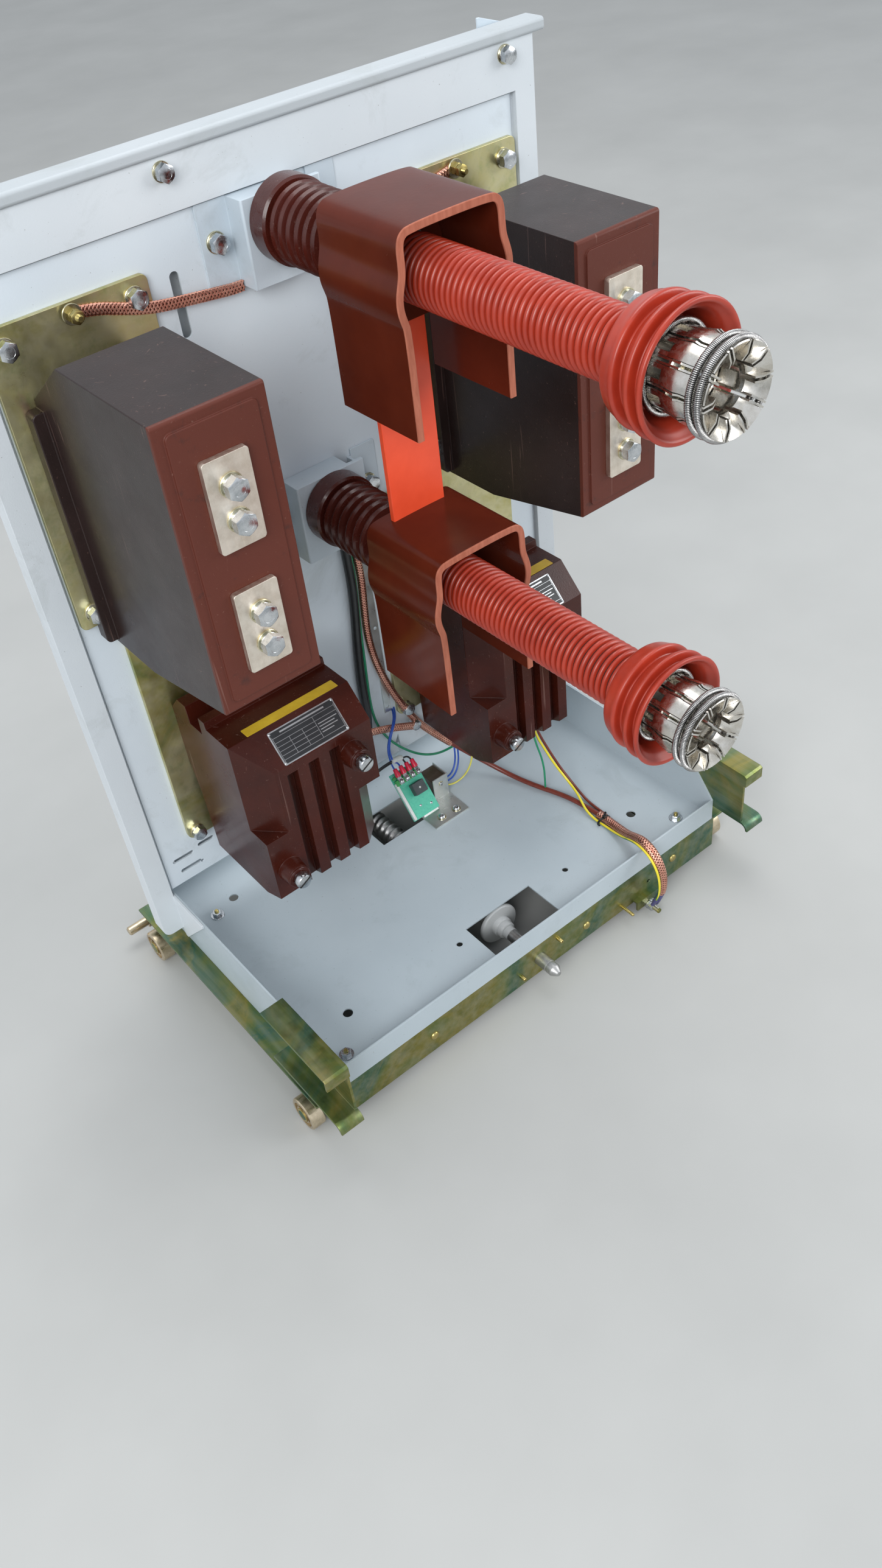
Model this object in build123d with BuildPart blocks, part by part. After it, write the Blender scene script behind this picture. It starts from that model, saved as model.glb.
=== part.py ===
from build123d import *
from math import cos, radians, sin, tan
import os

# Withdrawable metering truck for a 12 kV metal-clad switchboard.
# Frame: X across the truck, -Y towards the contact arms, +Z up.
# Origin on the floor under the wheels, in the middle of the footprint. Millimetres.

# Overall
Y_TIP = -302.0
Y_BACK = 302.0
SHEET = 2.0
BAR_T = 3.0

# Wheels and chassis
WHEEL_R = 19.0
WHEEL_W = 16.0
WHEEL_YS = (-49.0, 257.0)
PIN_R = 6.0
RUN = 0.05
RAIL_WEB = 276.0
RAIL_FLANGE = 23.0
WHEEL_IN = RAIL_WEB + 13.0
RAIL_Z0 = 12.0
RAIL_Z1 = 54.0
RAIL_Y0 = -74.0
RAIL_Y1 = 290.0
BAR_X = RAIL_WEB + BAR_T
BAR_Z0 = 13.0
BAR_Z1 = 59.0
BAR_Y0 = -77.0
EARTH_X = 160.0
EARTH_Z = 9.0

# Lead screw
SCREW_Z = 36.0
SCREW_NECK_R = 7.5
SCREW_R = 13.0
SCREW_COLLAR_R = 21.0
BUSH_R = 16.0
SCREW_END = RAIL_Y1 - 28.0

# Tray
TRAY_X = RAIL_WEB
FLOOR_Z = 65.0
LIP_Z = 89.0
WALL_Z = 126.0
WALL_LOW = 51.0
TRAY_BACK = 278.0
CUT_F = 46.5
CUT_F_Y = (-66.0, -8.5)
CUT_R = 32.7
CUT_R_Y = (158.7, 210.0)

# Shutter brackets
BRK_Z0 = 79.0
BRK_Z1 = 154.0
BRK_W = 27.0
BRK_Y0 = -119.0
BRK_Y1 = -12.0

# Panel
PANEL_X = 302.0
PANEL_Z0 = 75.0
PANEL_Z1 = 844.0
PANEL_Y = 209.0
PANEL_D = 20.0
STRIP_IN = 278.0
RECESS_Z = 801.0
SHEET_X = 275.0
SHEET_Y = 214.0
SHEET_Z0 = 132.0
POCKET_X = 262.0
POCKET_Z = 785.0
SLOT_X = -100.0
SLOT_Z = POCKET_Z - 57.5
CAP_X = 313.0
CAP_T = 11.0

# Contact arms
AXIS_LOW = 500.8
AXIS_GAP = 275.0
AXES = {"lower": AXIS_LOW, "upper": AXIS_LOW + AXIS_GAP}
SEAT_X = 40.0
SEAT_Y = 188.0
SEAT_UPS = {"lower": 34.0, "upper": 24.0}
SEAT_DOWN = 50.0
SEAT_EAR = 70.5
EAR_DOWNS = {"lower": 29.0, "upper": 50.0}
COLLAR_R = 36.0
SHED_R = 34.0
CORE_R = 27.0
SHED_PITCH = 11.5
SHEDS = 6
LINK_Y0 = 46.0
LINK_T = 6.0
LINK_X = 28.5
HOOD_X = 50.5
HOOD_TOP = 53.0
HOOD_DOWN = 108.0
HOOD_T = 6.0
HOOD_Y0 = -36.0
HOOD_Y1 = 62.0
STEM_R = 17.0
STEM_END = -262.0
SLEEVE_R = 25.5
SLEEVE_Y0 = 20.0
SLEEVE_Y1 = -222.0
BELL_RIM = -264.0
FINGERS = 12
FINGER_W = 5.0
CONTACT_R = 17.5
CONTACT_Y = -286.5
SPRING_Y = (-291.0, -283.0, -247.0)

# Current transformers
CT_X = 201.0
CT_W = 95.3
CT_Y = -1.0
CT_Z0 = 492.7
CT_Z1 = 748.7
PAD_W = 40.0
PAD_T = 6.0
PADS = {"upper": (636.0, 712.0), "lower": (525.0, 600.0)}

# Voltage transformers
VT_X = 144.0
VT_H = 70.5
VT_Y = 71.0
VT_Z0 = 170.0
VT_Z1 = 371.0
VT_STEP = 27.0
VT_MID = 262.0
BASE_Y = 209.0

# Wiring
CABLE_R = 3.0
LOOM_R = 5.0
WIRE_R = 1.5
BRAID_W = 10.0
BRAID_T = 2.5

# Circuit board, leaning back on its bracket
BOARD_X = (15.0, 54.0)
BOARD_FOOT = (159.0, 70.0)
BOARD_LEAN = 49.5
BOARD_LONG = 63.0
BOARD_T = 1.6
TONGUE_X = (30.0, 52.0)
TONGUE_LONG = 40.0
BRACKET_T = 1.5
BLOCK_X = (57.0, 79.0)
BLOCK_Y = (171.0, 198.0)
BLOCK_Z = 100.0

os.makedirs("parts", exist_ok=True)


def side_plane(x):
    """Plane across the truck at x: its x is model Y, its y is model Z."""
    return Plane(origin=(x, 0, 0), x_dir=(0, 1, 0), z_dir=(1, 0, 0))


def front_plane(y):
    """Plane facing the contact side at y: its x is model X, its y is model Z."""
    return Plane(origin=(0, y, 0), x_dir=(1, 0, 0), z_dir=(0, -1, 0))


def save(name, shape):
    shape.label = name
    export_step(shape, "parts/" + name + ".step")


def poly(points):
    """Closed polyline face in the open sketch."""
    Polygon(*points, align=None)


# Chassis rails with their wheel pins
def rail(side):
    with BuildPart() as made:
        web = side * RAIL_WEB
        flange = side * (RAIL_WEB + RAIL_FLANGE)
        with BuildSketch(front_plane(RAIL_Y0)):
            t = side * BAR_T
            poly([
                (web, RAIL_Z0), (web, RAIL_Z1), (flange, RAIL_Z1), (flange, RAIL_Z1 - BAR_T),
                (web + t, RAIL_Z1 - BAR_T),
                (web + t, RAIL_Z0),
            ])
        extrude(amount=-(RAIL_Y1 - RAIL_Y0))
        with BuildSketch(front_plane(RAIL_Y0)):
            poly([
                (web + t, RAIL_Z0), (web - side * 26, RAIL_Z0),
                (web - side * 26, RAIL_Z0 + BAR_T), (web + t, RAIL_Z0 + BAR_T),
            ])
        extrude(amount=-(RAIL_Y1 - RAIL_Y0))
        for y in WHEEL_YS:
            with BuildSketch(Plane(origin=(web, y, WHEEL_R), x_dir=(0, 1, 0), z_dir=(side, 0, 0))):
                Circle(10.0)
            extrude(amount=WHEEL_IN - 0.5 - RAIL_WEB)
            with BuildSketch(Plane(origin=(web, y, WHEEL_R), x_dir=(0, 1, 0), z_dir=(side, 0, 0))):
                Circle(PIN_R)
            extrude(amount=WHEEL_IN + WHEEL_W + 1.5 - RAIL_WEB)
    return made.part


save("left_rail", rail(-1))
save("right_rail", rail(1))


# Wheels: plain steel rollers with a dished outer face
def wheel(side, y):
    centre = (side * WHEEL_IN, y, WHEEL_R)
    with BuildPart() as made:
        with BuildSketch(Plane(origin=centre, x_dir=(0, 1, 0), z_dir=(side, 0, 0))):
            Circle(WHEEL_R)
            Circle(PIN_R + RUN, mode=Mode.SUBTRACT)
        extrude(amount=WHEEL_W)
        rims = made.edges().filter_by(GeomType.CIRCLE).sort_by(SortBy.RADIUS)[-2:]
        chamfer(rims, 1.2)
        with BuildSketch(Plane(origin=(centre[0] + side * WHEEL_W, y, WHEEL_R),
                               x_dir=(0, 1, 0), z_dir=(side, 0, 0))):
            Circle(WHEEL_R - 4.5)
            Circle(PIN_R + 4.0, mode=Mode.SUBTRACT)
        extrude(amount=-2.0, mode=Mode.SUBTRACT)
    return made.part


for side_name, side in (("left", -1), ("right", 1)):
    for end_name, wheel_y in zip(("front", "rear"), WHEEL_YS):
        save(side_name + "_" + end_name + "_wheel", wheel(side, wheel_y))

# Front crossbar with the screw bush
with BuildPart() as front_bar:
    with BuildSketch(front_plane(BAR_Y0)):
        with Locations((0, (BAR_Z0 + BAR_Z1) / 2)):
            Rectangle(2 * BAR_X, BAR_Z1 - BAR_Z0)
    extrude(amount=-BAR_T)
    with BuildSketch(front_plane(BAR_Y0)):
        with Locations((0, BAR_Z1 - BAR_T / 2), (0, BAR_Z0 + BAR_T / 2)):
            Rectangle(2 * 249.0, BAR_T)
    extrude(amount=-20.0)
    with BuildSketch(front_plane(BAR_Y0)):
        with Locations((0, SCREW_Z)):
            Circle(BUSH_R)
    extrude(amount=-15.0)
    with BuildSketch(front_plane(BAR_Y0)):
        with Locations((0, SCREW_Z)):
            Circle(SCREW_NECK_R + RUN)
    extrude(amount=-15.0, mode=Mode.SUBTRACT)
    # ledge with a hanging lug for the earth stud
    with BuildSketch(side_plane(EARTH_X - 14)):
        poly([
            (BAR_Y0, BAR_Z0), (BAR_Y0, BAR_Z0 + BAR_T), (BAR_Y0 - 7, BAR_Z0 + BAR_T),
            (BAR_Y0 - 7, 3), (BAR_Y0 - 4, 3), (BAR_Y0 - 4, BAR_Z0),
        ])
    extrude(amount=44.0)
    with BuildSketch(front_plane(BAR_Y0 - 4)):
        with Locations((EARTH_X, EARTH_Z)):
            Circle(3.0)
    extrude(amount=24.0)
    with BuildSketch(front_plane(BAR_Y0)):
        with Locations((170, 31)):
            Circle(2.5)
    extrude(amount=-BAR_T, mode=Mode.SUBTRACT)
save("front_crossbar", front_bar.part)

# Rear crossbar with end cheeks
with BuildPart() as rear_bar:
    with BuildSketch(front_plane(RAIL_Y1)):
        with Locations((0, (BAR_Z0 + BAR_Z1) / 2)):
            Rectangle(2 * BAR_X, BAR_Z1 - BAR_Z0)
    extrude(amount=-BAR_T)
    with BuildSketch(front_plane(RAIL_Y1)):
        with Locations((0, (BAR_Z0 + BAR_Z1) / 2)):
            Rectangle(2 * BAR_X, BAR_Z1 - BAR_Z0)
            Rectangle(2 * (BAR_X - BAR_T), BAR_Z1 - BAR_Z0 - 2 * BAR_T, mode=Mode.SUBTRACT)
    extrude(amount=-(Y_BACK - RAIL_Y1))
    with BuildSketch(front_plane(RAIL_Y1 + BAR_T)):
        with Locations((0, SCREW_Z)):
            Circle(BUSH_R)
    extrude(amount=15.0)
    with BuildSketch(front_plane(RAIL_Y1 + BAR_T)):
        with Locations((0, SCREW_Z)):
            Circle(9.0 + RUN)
    extrude(amount=15.0, mode=Mode.SUBTRACT)
save("rear_crossbar", rear_bar.part)

# Lead screw: guide tip, neck, collar, thread crest cylinder, square drive end
with BuildPart() as lead_screw:
    with BuildSketch(side_plane(0)):
        poly([
            (-108, SCREW_Z), (-108, SCREW_Z + 3), (-101, SCREW_Z + SCREW_NECK_R),
            (-42, SCREW_Z + SCREW_NECK_R), (-42, SCREW_Z + SCREW_COLLAR_R - 2),
            (-40, SCREW_Z + SCREW_COLLAR_R), (-30, SCREW_Z + SCREW_COLLAR_R),
            (-28, SCREW_Z + SCREW_COLLAR_R - 2), (-28, SCREW_Z + SCREW_R),
            (SCREW_END, SCREW_Z + SCREW_R), (SCREW_END + 3, SCREW_Z + 9), (RAIL_Y1 + 6, SCREW_Z + 9),
            (RAIL_Y1 + 6, SCREW_Z),
        ])
    revolve(axis=Axis((0, 0, SCREW_Z), (0, 1, 0)))
    with BuildSketch(Plane(origin=(0, RAIL_Y1, SCREW_Z), x_dir=(1, 0, 0), z_dir=(0, 1, 0))):
        Rectangle(12, 12)
    extrude(amount=Y_BACK - RAIL_Y1)
save("lead_screw", lead_screw.part)

# Locking pins with a cross pin at the rear corners
def locking_pin(side):
    with BuildPart() as made:
        with BuildSketch(Plane(origin=(side * BAR_X, 296, 24), x_dir=(0, 1, 0), z_dir=(side, 0, 0))):
            Circle(5.5)
        extrude(amount=39.0)
        tip = made.faces().filter_by(Axis.X).sort_by(Axis.X)[-1 if side > 0 else 0]
        chamfer(tip.edges(), 1.5)
        with BuildSketch(Plane(origin=(side * (BAR_X + 12), 296, 14), x_dir=(1, 0, 0), z_dir=(0, 0, 1))):
            Circle(2.0)
        extrude(amount=20.0)
    return made.part


save("left_locking_pin", locking_pin(-1))
save("right_locking_pin", locking_pin(1))

# Base tray: one folded sheet with lip, side walls and back upstand
with BuildPart() as base_tray:
    with BuildSketch(side_plane(-TRAY_X)):
        poly([
            (RAIL_Y0, WALL_LOW), (RAIL_Y0, BAR_Z1), (BAR_Y0, BAR_Z1), (BAR_Y0, LIP_Z),
            (-47, WALL_Z), (TRAY_BACK, WALL_Z), (TRAY_BACK, WALL_LOW),
        ])
    extrude(amount=SHEET)
    with BuildSketch(side_plane(TRAY_X)):
        poly([
            (RAIL_Y0, WALL_LOW), (RAIL_Y0, BAR_Z1), (BAR_Y0, BAR_Z1), (BAR_Y0, LIP_Z),
            (-47, WALL_Z), (TRAY_BACK, WALL_Z), (TRAY_BACK, WALL_LOW),
        ])
    extrude(amount=-SHEET)
    with BuildSketch(Plane.XY.offset(FLOOR_Z - SHEET)):
        with Locations((0, (BAR_Y0 + TRAY_BACK) / 2)):
            Rectangle(2 * TRAY_X, TRAY_BACK - BAR_Y0)
    extrude(amount=SHEET)
    with BuildSketch(front_plane(BAR_Y0)):
        with Locations((0, (BAR_Z1 + LIP_Z) / 2)):
            Rectangle(2 * TRAY_X, LIP_Z - BAR_Z1)
    extrude(amount=-SHEET)
    with BuildSketch(front_plane(TRAY_BACK)):
        with Locations((0, (WALL_LOW + WALL_Z) / 2)):
            Rectangle(2 * TRAY_X, WALL_Z - WALL_LOW)
    extrude(amount=SHEET)
    with BuildSketch(Plane.XY.offset(FLOOR_Z - SHEET)):
        for half, (y0, y1) in ((CUT_F, CUT_F_Y), (CUT_R, CUT_R_Y)):
            with Locations((0, (y0 + y1) / 2)):
                Rectangle(2 * half, y1 - y0)
        with Locations((-210, -9.4), (210, -9.4), (-210, 216), (210, 216)):
            Circle(5.5)
        with Locations((-65, -20), (93, -20)):
            Circle(3.5)
    extrude(amount=SHEET, mode=Mode.SUBTRACT)
save("base_tray", base_tray.part)


# Shutter brackets: channels open outwards with a rolled front
def shutter_bracket(side):
    web = side * TRAY_X
    out = side * (TRAY_X + BRK_W)
    with BuildPart() as made:
        with BuildSketch(front_plane(BRK_Y0)):
            t = side * BAR_T
            poly([
                (web, BRK_Z0), (web, BRK_Z1), (out, BRK_Z1), (out, BRK_Z1 - BAR_T),
                (web + t, BRK_Z1 - BAR_T), (web + t, BRK_Z0 + BAR_T), (out, BRK_Z0 + BAR_T),
                (out, BRK_Z0),
            ])
        extrude(amount=-(BRK_Y1 - BRK_Y0))
        with BuildSketch(side_plane(web)):
            with BuildLine():
                l1 = Line((BRK_Y0 + 4, BRK_Z0 + BAR_T), (BRK_Y0, BRK_Z0 + BAR_T))
                l2 = RadiusArc(l1 @ 1, (BRK_Y0 - 10, BRK_Z0 - 7), -10.0)
                l3 = Line(l2 @ 1, (BRK_Y0 - 10 + BAR_T, BRK_Z0 - 7))
                l4 = RadiusArc(l3 @ 1, (BRK_Y0, BRK_Z0), 7.0)
                l5 = Line(l4 @ 1, (BRK_Y0 + 4, BRK_Z0))
                l6 = Line(l5 @ 1, l1 @ 0)
            make_face()
        extrude(amount=side * BRK_W)
        with BuildSketch(side_plane(web)):
            poly([
                (BRK_Y0, BRK_Z1), (BRK_Y0 - BAR_T, BRK_Z1 - 2), (BRK_Y0 - BAR_T, BRK_Z1 - 16),
                (BRK_Y0, BRK_Z1 - 16),
            ])
        extrude(amount=side * BRK_W)
    return made.part


save("left_shutter_bracket", shutter_bracket(-1))
save("right_shutter_bracket", shutter_bracket(1))

# Panel frame: door-like surround, recessed for the sheet, open at the foot, with foot gussets
with BuildPart() as panel_frame:
    with BuildSketch(front_plane(PANEL_Y)):
        with Locations((0, (PANEL_Z0 + PANEL_Z1) / 2)):
            Rectangle(2 * PANEL_X, PANEL_Z1 - PANEL_Z0)
    extrude(amount=-PANEL_D)
    bottom = panel_frame.edges().filter_by(Axis.Y).group_by(Axis.Z)[0]
    fillet(bottom, 10.0)
    with BuildSketch(front_plane(PANEL_Y)):
        with Locations((0, (RECESS_Z + 40) / 2)):
            Rectangle(2 * STRIP_IN, RECESS_Z - 40)
    extrude(amount=-7.0, mode=Mode.SUBTRACT)
    with BuildSketch(front_plane(PANEL_Y)):
        with Locations((0, (POCKET_Z + 40) / 2)):
            Rectangle(2 * POCKET_X, POCKET_Z - 40)
    extrude(amount=-(PANEL_D - SHEET), mode=Mode.SUBTRACT)
    with BuildSketch(front_plane(PANEL_Y)):
        with Locations((0, (SHEET_Z0 + 40) / 2)):
            Rectangle(2 * STRIP_IN, SHEET_Z0 - 40)
    extrude(amount=-PANEL_D, mode=Mode.SUBTRACT)
    for side in (-1, 1):
        with BuildSketch(side_plane(side * TRAY_X)):
            poly([
                (PANEL_Y - 60, WALL_Z), (PANEL_Y + 6, WALL_Z), (PANEL_Y + 6, 78),
                (PANEL_Y, 61), (PANEL_Y - 4, 61), (PANEL_Y - 60, WALL_Z - 4),
            ])
        extrude(amount=side * BAR_T)
save("panel_frame", panel_frame.part)

# Mounting sheet with slots, long slot and seam holes
with BuildPart() as mounting_panel:
    with BuildSketch(front_plane(SHEET_Y)):
        with Locations((0, (SHEET_Z0 + RECESS_Z - 2) / 2)):
            Rectangle(2 * SHEET_X, RECESS_Z - 2 - SHEET_Z0)
        with Locations((-252, 166), (-246, 148)):
            SlotOverall(26, 5, mode=Mode.SUBTRACT)
        with Locations((-222, 170)):
            SlotOverall(20, 5, mode=Mode.SUBTRACT)
        with Locations((SLOT_X, SLOT_Z)):
            SlotOverall(57, 9, rotation=90, mode=Mode.SUBTRACT)
        with Locations((-232, 146)):
            Circle(2.0, mode=Mode.SUBTRACT)
        Polygon((46, SHEET_Z0 + 26), (40.5, SHEET_Z0 + 16), (44, SHEET_Z0), (47, SHEET_Z0),
                align=None, mode=Mode.SUBTRACT)
    extrude(amount=-SHEET)
save("mounting_panel", mounting_panel.part)

# Cap along the top of the panel with a rounded nose
with BuildPart() as panel_cap:
    with BuildSketch(side_plane(-CAP_X)):
        with Locations((PANEL_Y + 9.5, PANEL_Z1 + CAP_T / 2)):
            RectangleRounded(27, CAP_T, 3.5)
        with Locations((PANEL_Y + 9.5, PANEL_Z1 + 2)):
            Rectangle(20, 4)
    extrude(amount=2 * CAP_X)
save("panel_cap", panel_cap.part)

# Insulator seats: open folded boxes on the sheet
for name, axis_z in AXES.items():
    SEAT_UP = SEAT_UPS[name]
    with BuildPart() as seat:
        with BuildSketch(front_plane(SEAT_Y)):
            with Locations((0, axis_z + (SEAT_UP - SEAT_DOWN) / 2)):
                Rectangle(2 * SEAT_X, SEAT_UP + SEAT_DOWN)
        extrude(amount=-(SHEET_Y - SEAT_Y))
        fillet(seat.edges().filter_by(Axis.Z).group_by(Axis.Y)[0], 2.0)
        ear_down = EAR_DOWNS[name]
        with BuildSketch(front_plane(SHEET_Y)):
            with Locations((0, axis_z + (SEAT_UP - ear_down) / 2)):
                RectangleRounded(2 * SEAT_EAR, SEAT_UP + ear_down, 2)
        extrude(amount=SHEET)
        with BuildSketch(front_plane(SEAT_Y + BAR_T)):
            with Locations((0, axis_z + (SEAT_UP - SEAT_DOWN) / 2)):
                Rectangle(2 * (SEAT_X - BAR_T), SEAT_UP + SEAT_DOWN - 2 * BAR_T)
        extrude(amount=-(SHEET_Y - SEAT_Y), mode=Mode.SUBTRACT)
        with BuildSketch(Plane.XY.offset(axis_z + SEAT_UP - BAR_T - 4)):
            with Locations((SEAT_X - 8, SHEET_Y - 10)):
                Rectangle(18, 22)
        extrude(amount=20, mode=Mode.SUBTRACT)
    save(name + "_seat", seat.part)

# Post insulators: back collar, six sheds, front cap
for name, axis_z in AXES.items():
    with BuildPart() as insulator:
        with BuildSketch(side_plane(0)):
            front = LINK_Y0 + LINK_T
            pts = [(SEAT_Y, axis_z), (SEAT_Y, axis_z + COLLAR_R - 1.5),
                   (SEAT_Y - 1.5, axis_z + COLLAR_R), (SEAT_Y - 20, axis_z + COLLAR_R),
                   (SEAT_Y - 22, axis_z + COLLAR_R - 2), (SEAT_Y - 22, axis_z + CORE_R)]
            y = SEAT_Y - 25.0
            for shed in range(SHEDS):
                pts += [(y, axis_z + CORE_R), (y - 1.5, axis_z + SHED_R - 1.0),
                        (y - 4.0, axis_z + SHED_R), (y - 6.5, axis_z + SHED_R - 1.5),
                        (y - 8.5, axis_z + CORE_R)]
                y -= SHED_PITCH
            pts += [(front + 14, axis_z + CORE_R), (front + 12, axis_z + CORE_R - 2),
                    (front, axis_z + CORE_R - 3), (front, axis_z)]
            poly(pts)
        revolve(axis=Axis((0, 0, axis_z), (0, 1, 0)))
    save(name + "_insulator", insulator.part)

# Link bar joining the two arms
with BuildPart() as link_bar:
    with BuildSketch(front_plane(LINK_Y0)):
        with Locations((0, AXIS_LOW + AXIS_GAP / 2)):
            RectangleRounded(2 * LINK_X, AXIS_GAP + 60, 8)
    extrude(amount=-LINK_T)
save("link_bar", link_bar.part)


# Hoods: downward-open moulded covers with bulged side walls
def hood_outline(inset, down, axis_z):
    half = [
        (HOOD_X, -down), (HOOD_X, -21), (HOOD_X + 2.5, -13), (HOOD_X + 4.5, -5),
        (HOOD_X + 4.5, 4), (HOOD_X + 2.5, 12), (HOOD_X, 20), (HOOD_X - 0.5, 27),
        (HOOD_X - 0.5, HOOD_TOP - 12), (HOOD_X - 4, HOOD_TOP - 4), (HOOD_X - 13, HOOD_TOP),
    ]
    out = [(x - inset, z if z < HOOD_TOP - 13 else z - inset) for x, z in half]
    pts = [(x, axis_z + z) for x, z in out]
    return pts + [(-x, z) for x, z in reversed(pts)]


for name, axis_z in AXES.items():
    with BuildPart() as hood:
        with BuildSketch(front_plane(HOOD_Y0)):
            poly(hood_outline(0, HOOD_DOWN, axis_z))
        extrude(amount=-(HOOD_Y1 - HOOD_Y0))
        with BuildSketch(front_plane(HOOD_Y0)):
            poly(hood_outline(HOOD_T, HOOD_DOWN + 5, axis_z))
        extrude(amount=-(LINK_Y0 - HOOD_T - HOOD_Y0), mode=Mode.SUBTRACT)
        with BuildSketch(front_plane(LINK_Y0)):
            poly(hood_outline(HOOD_T, HOOD_DOWN + 5, axis_z))
        extrude(amount=-(HOOD_Y1 - LINK_Y0), mode=Mode.SUBTRACT)
        with BuildSketch(front_plane(LINK_Y0 - HOOD_T)):
            with Locations((0, axis_z - HOOD_DOWN)):
                Rectangle(2 * (HOOD_X + 10), 2 * (HOOD_DOWN - 52))
            with Locations((0, axis_z)):
                Circle(STEM_R)
        extrude(amount=-HOOD_T, mode=Mode.SUBTRACT)
        with BuildSketch(front_plane(LINK_Y0 - HOOD_T)):
            wall = HOOD_DOWN - 52
            for s in (-1, 1):
                with Locations((s * (HOOD_X - HOOD_T / 2), axis_z - HOOD_DOWN + wall / 2)):
                    Rectangle(HOOD_T, wall)
        extrude(amount=-HOOD_T)
        if name == "lower":
            with BuildSketch(front_plane(LINK_Y0)):
                with Locations((0, axis_z + HOOD_TOP - 10)):
                    Rectangle(2 * LINK_X + 1, 30)
            extrude(amount=-(HOOD_Y1 - LINK_Y0), mode=Mode.SUBTRACT)
    save(name + "_hood", hood.part)

# Contact stems: boss against the link bar, clamping flange, tube and finger boss
for name, axis_z in AXES.items():
    with BuildPart() as stem:
        with BuildSketch(side_plane(0)):
            z = axis_z
            poly([
                (LINK_Y0, z), (LINK_Y0, z + STEM_R), (LINK_Y0 - HOOD_T, z + STEM_R),
                (LINK_Y0 - HOOD_T, z + 27), (LINK_Y0 - HOOD_T - 10, z + 27),
                (LINK_Y0 - HOOD_T - 12, z + STEM_R),
                (STEM_END, z + STEM_R), (STEM_END, z + 9), (STEM_END - 4, z + 9), (STEM_END - 4, z),
            ])
        revolve(axis=Axis((0, 0, axis_z), (0, 1, 0)))
    save(name + "_contact_stem", stem.part)

# Insulating sleeves with the stepped bell at the contact end
for name, axis_z in AXES.items():
    with BuildPart() as sleeve:
        with BuildSketch(side_plane(0)):
            z = axis_z
            poly([
                (SLEEVE_Y0, z + STEM_R), (SLEEVE_Y0, z + SLEEVE_R - 1),
                (SLEEVE_Y0 - 1, z + SLEEVE_R), (SLEEVE_Y1, z + SLEEVE_R),
                (-223, z + 38), (-226, z + 42), (-231, z + 43.5), (-236, z + 42.5), (-239, z + 40.5),
                (-241, z + 43), (-247, z + 46), (-252, z + 45), (-255, z + 42.5),
                (-257, z + 44), (BELL_RIM + 3, z + 47), (BELL_RIM, z + 46), (BELL_RIM, z + 42),
                (-240, z + 37.5), (-230, z + 36), (-230, z + STEM_R),
            ])
        revolve(axis=Axis((0, 0, axis_z), (0, 1, 0)))
    save(name + "_sleeve", sleeve.part)

# Tulip contacts: twelve fingers round a spider, held by garter springs.
# Finger outline as (y, radius), front nose at Y_TIP.
FINGER_LINE = [
    (-238, 20), (-240, 28), (-244, 28), (-244, 26), (-250, 26), (-250, 28), (-262, 28),
    (-278, 30.5), (-300, 31), (Y_TIP, 29), (Y_TIP, 22), (-299, 17), (-287, 17),
    (-283, 22), (-266, 23), (-257, 21), (-254, 16), (-242, 16), (-240, 18.5),
]
for name, axis_z in AXES.items():
    with BuildPart() as tulip:
        with BuildSketch(front_plane(STEM_END)):
            with Locations((0, axis_z)):
                Circle(24.5)
                Circle(9.0, mode=Mode.SUBTRACT)
        extrude(amount=4.0)
        for i in range(FINGERS):
            turn = radians(i * 360.0 / FINGERS)
            across = (cos(turn), 0, -sin(turn))
            with BuildSketch(Plane(origin=(0, 0, axis_z), x_dir=(0, 1, 0), z_dir=across)):
                poly(FINGER_LINE)
            extrude(amount=FINGER_W / 2, both=True)
        with BuildSketch(front_plane(Y_TIP)):
            with Locations((0, axis_z)):
                Circle(CONTACT_R)
        extrude(amount=-(CONTACT_Y - Y_TIP), mode=Mode.SUBTRACT)
        with BuildSketch(front_plane(-256.0)):
            with Locations((0, axis_z)):
                Circle(STEM_R)
        extrude(amount=-20.0, mode=Mode.SUBTRACT)
        for y, r, tube in zip(SPRING_Y, (30.4, 30.4, 28.0), (3.0, 3.0, 2.4)):
            with BuildSketch(side_plane(0)):
                with Locations((y, axis_z + r)):
                    Circle(tube)
            revolve(axis=Axis((0, 0, axis_z), (0, 1, 0)))
    save(name + "_tulip", tulip.part)


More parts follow.
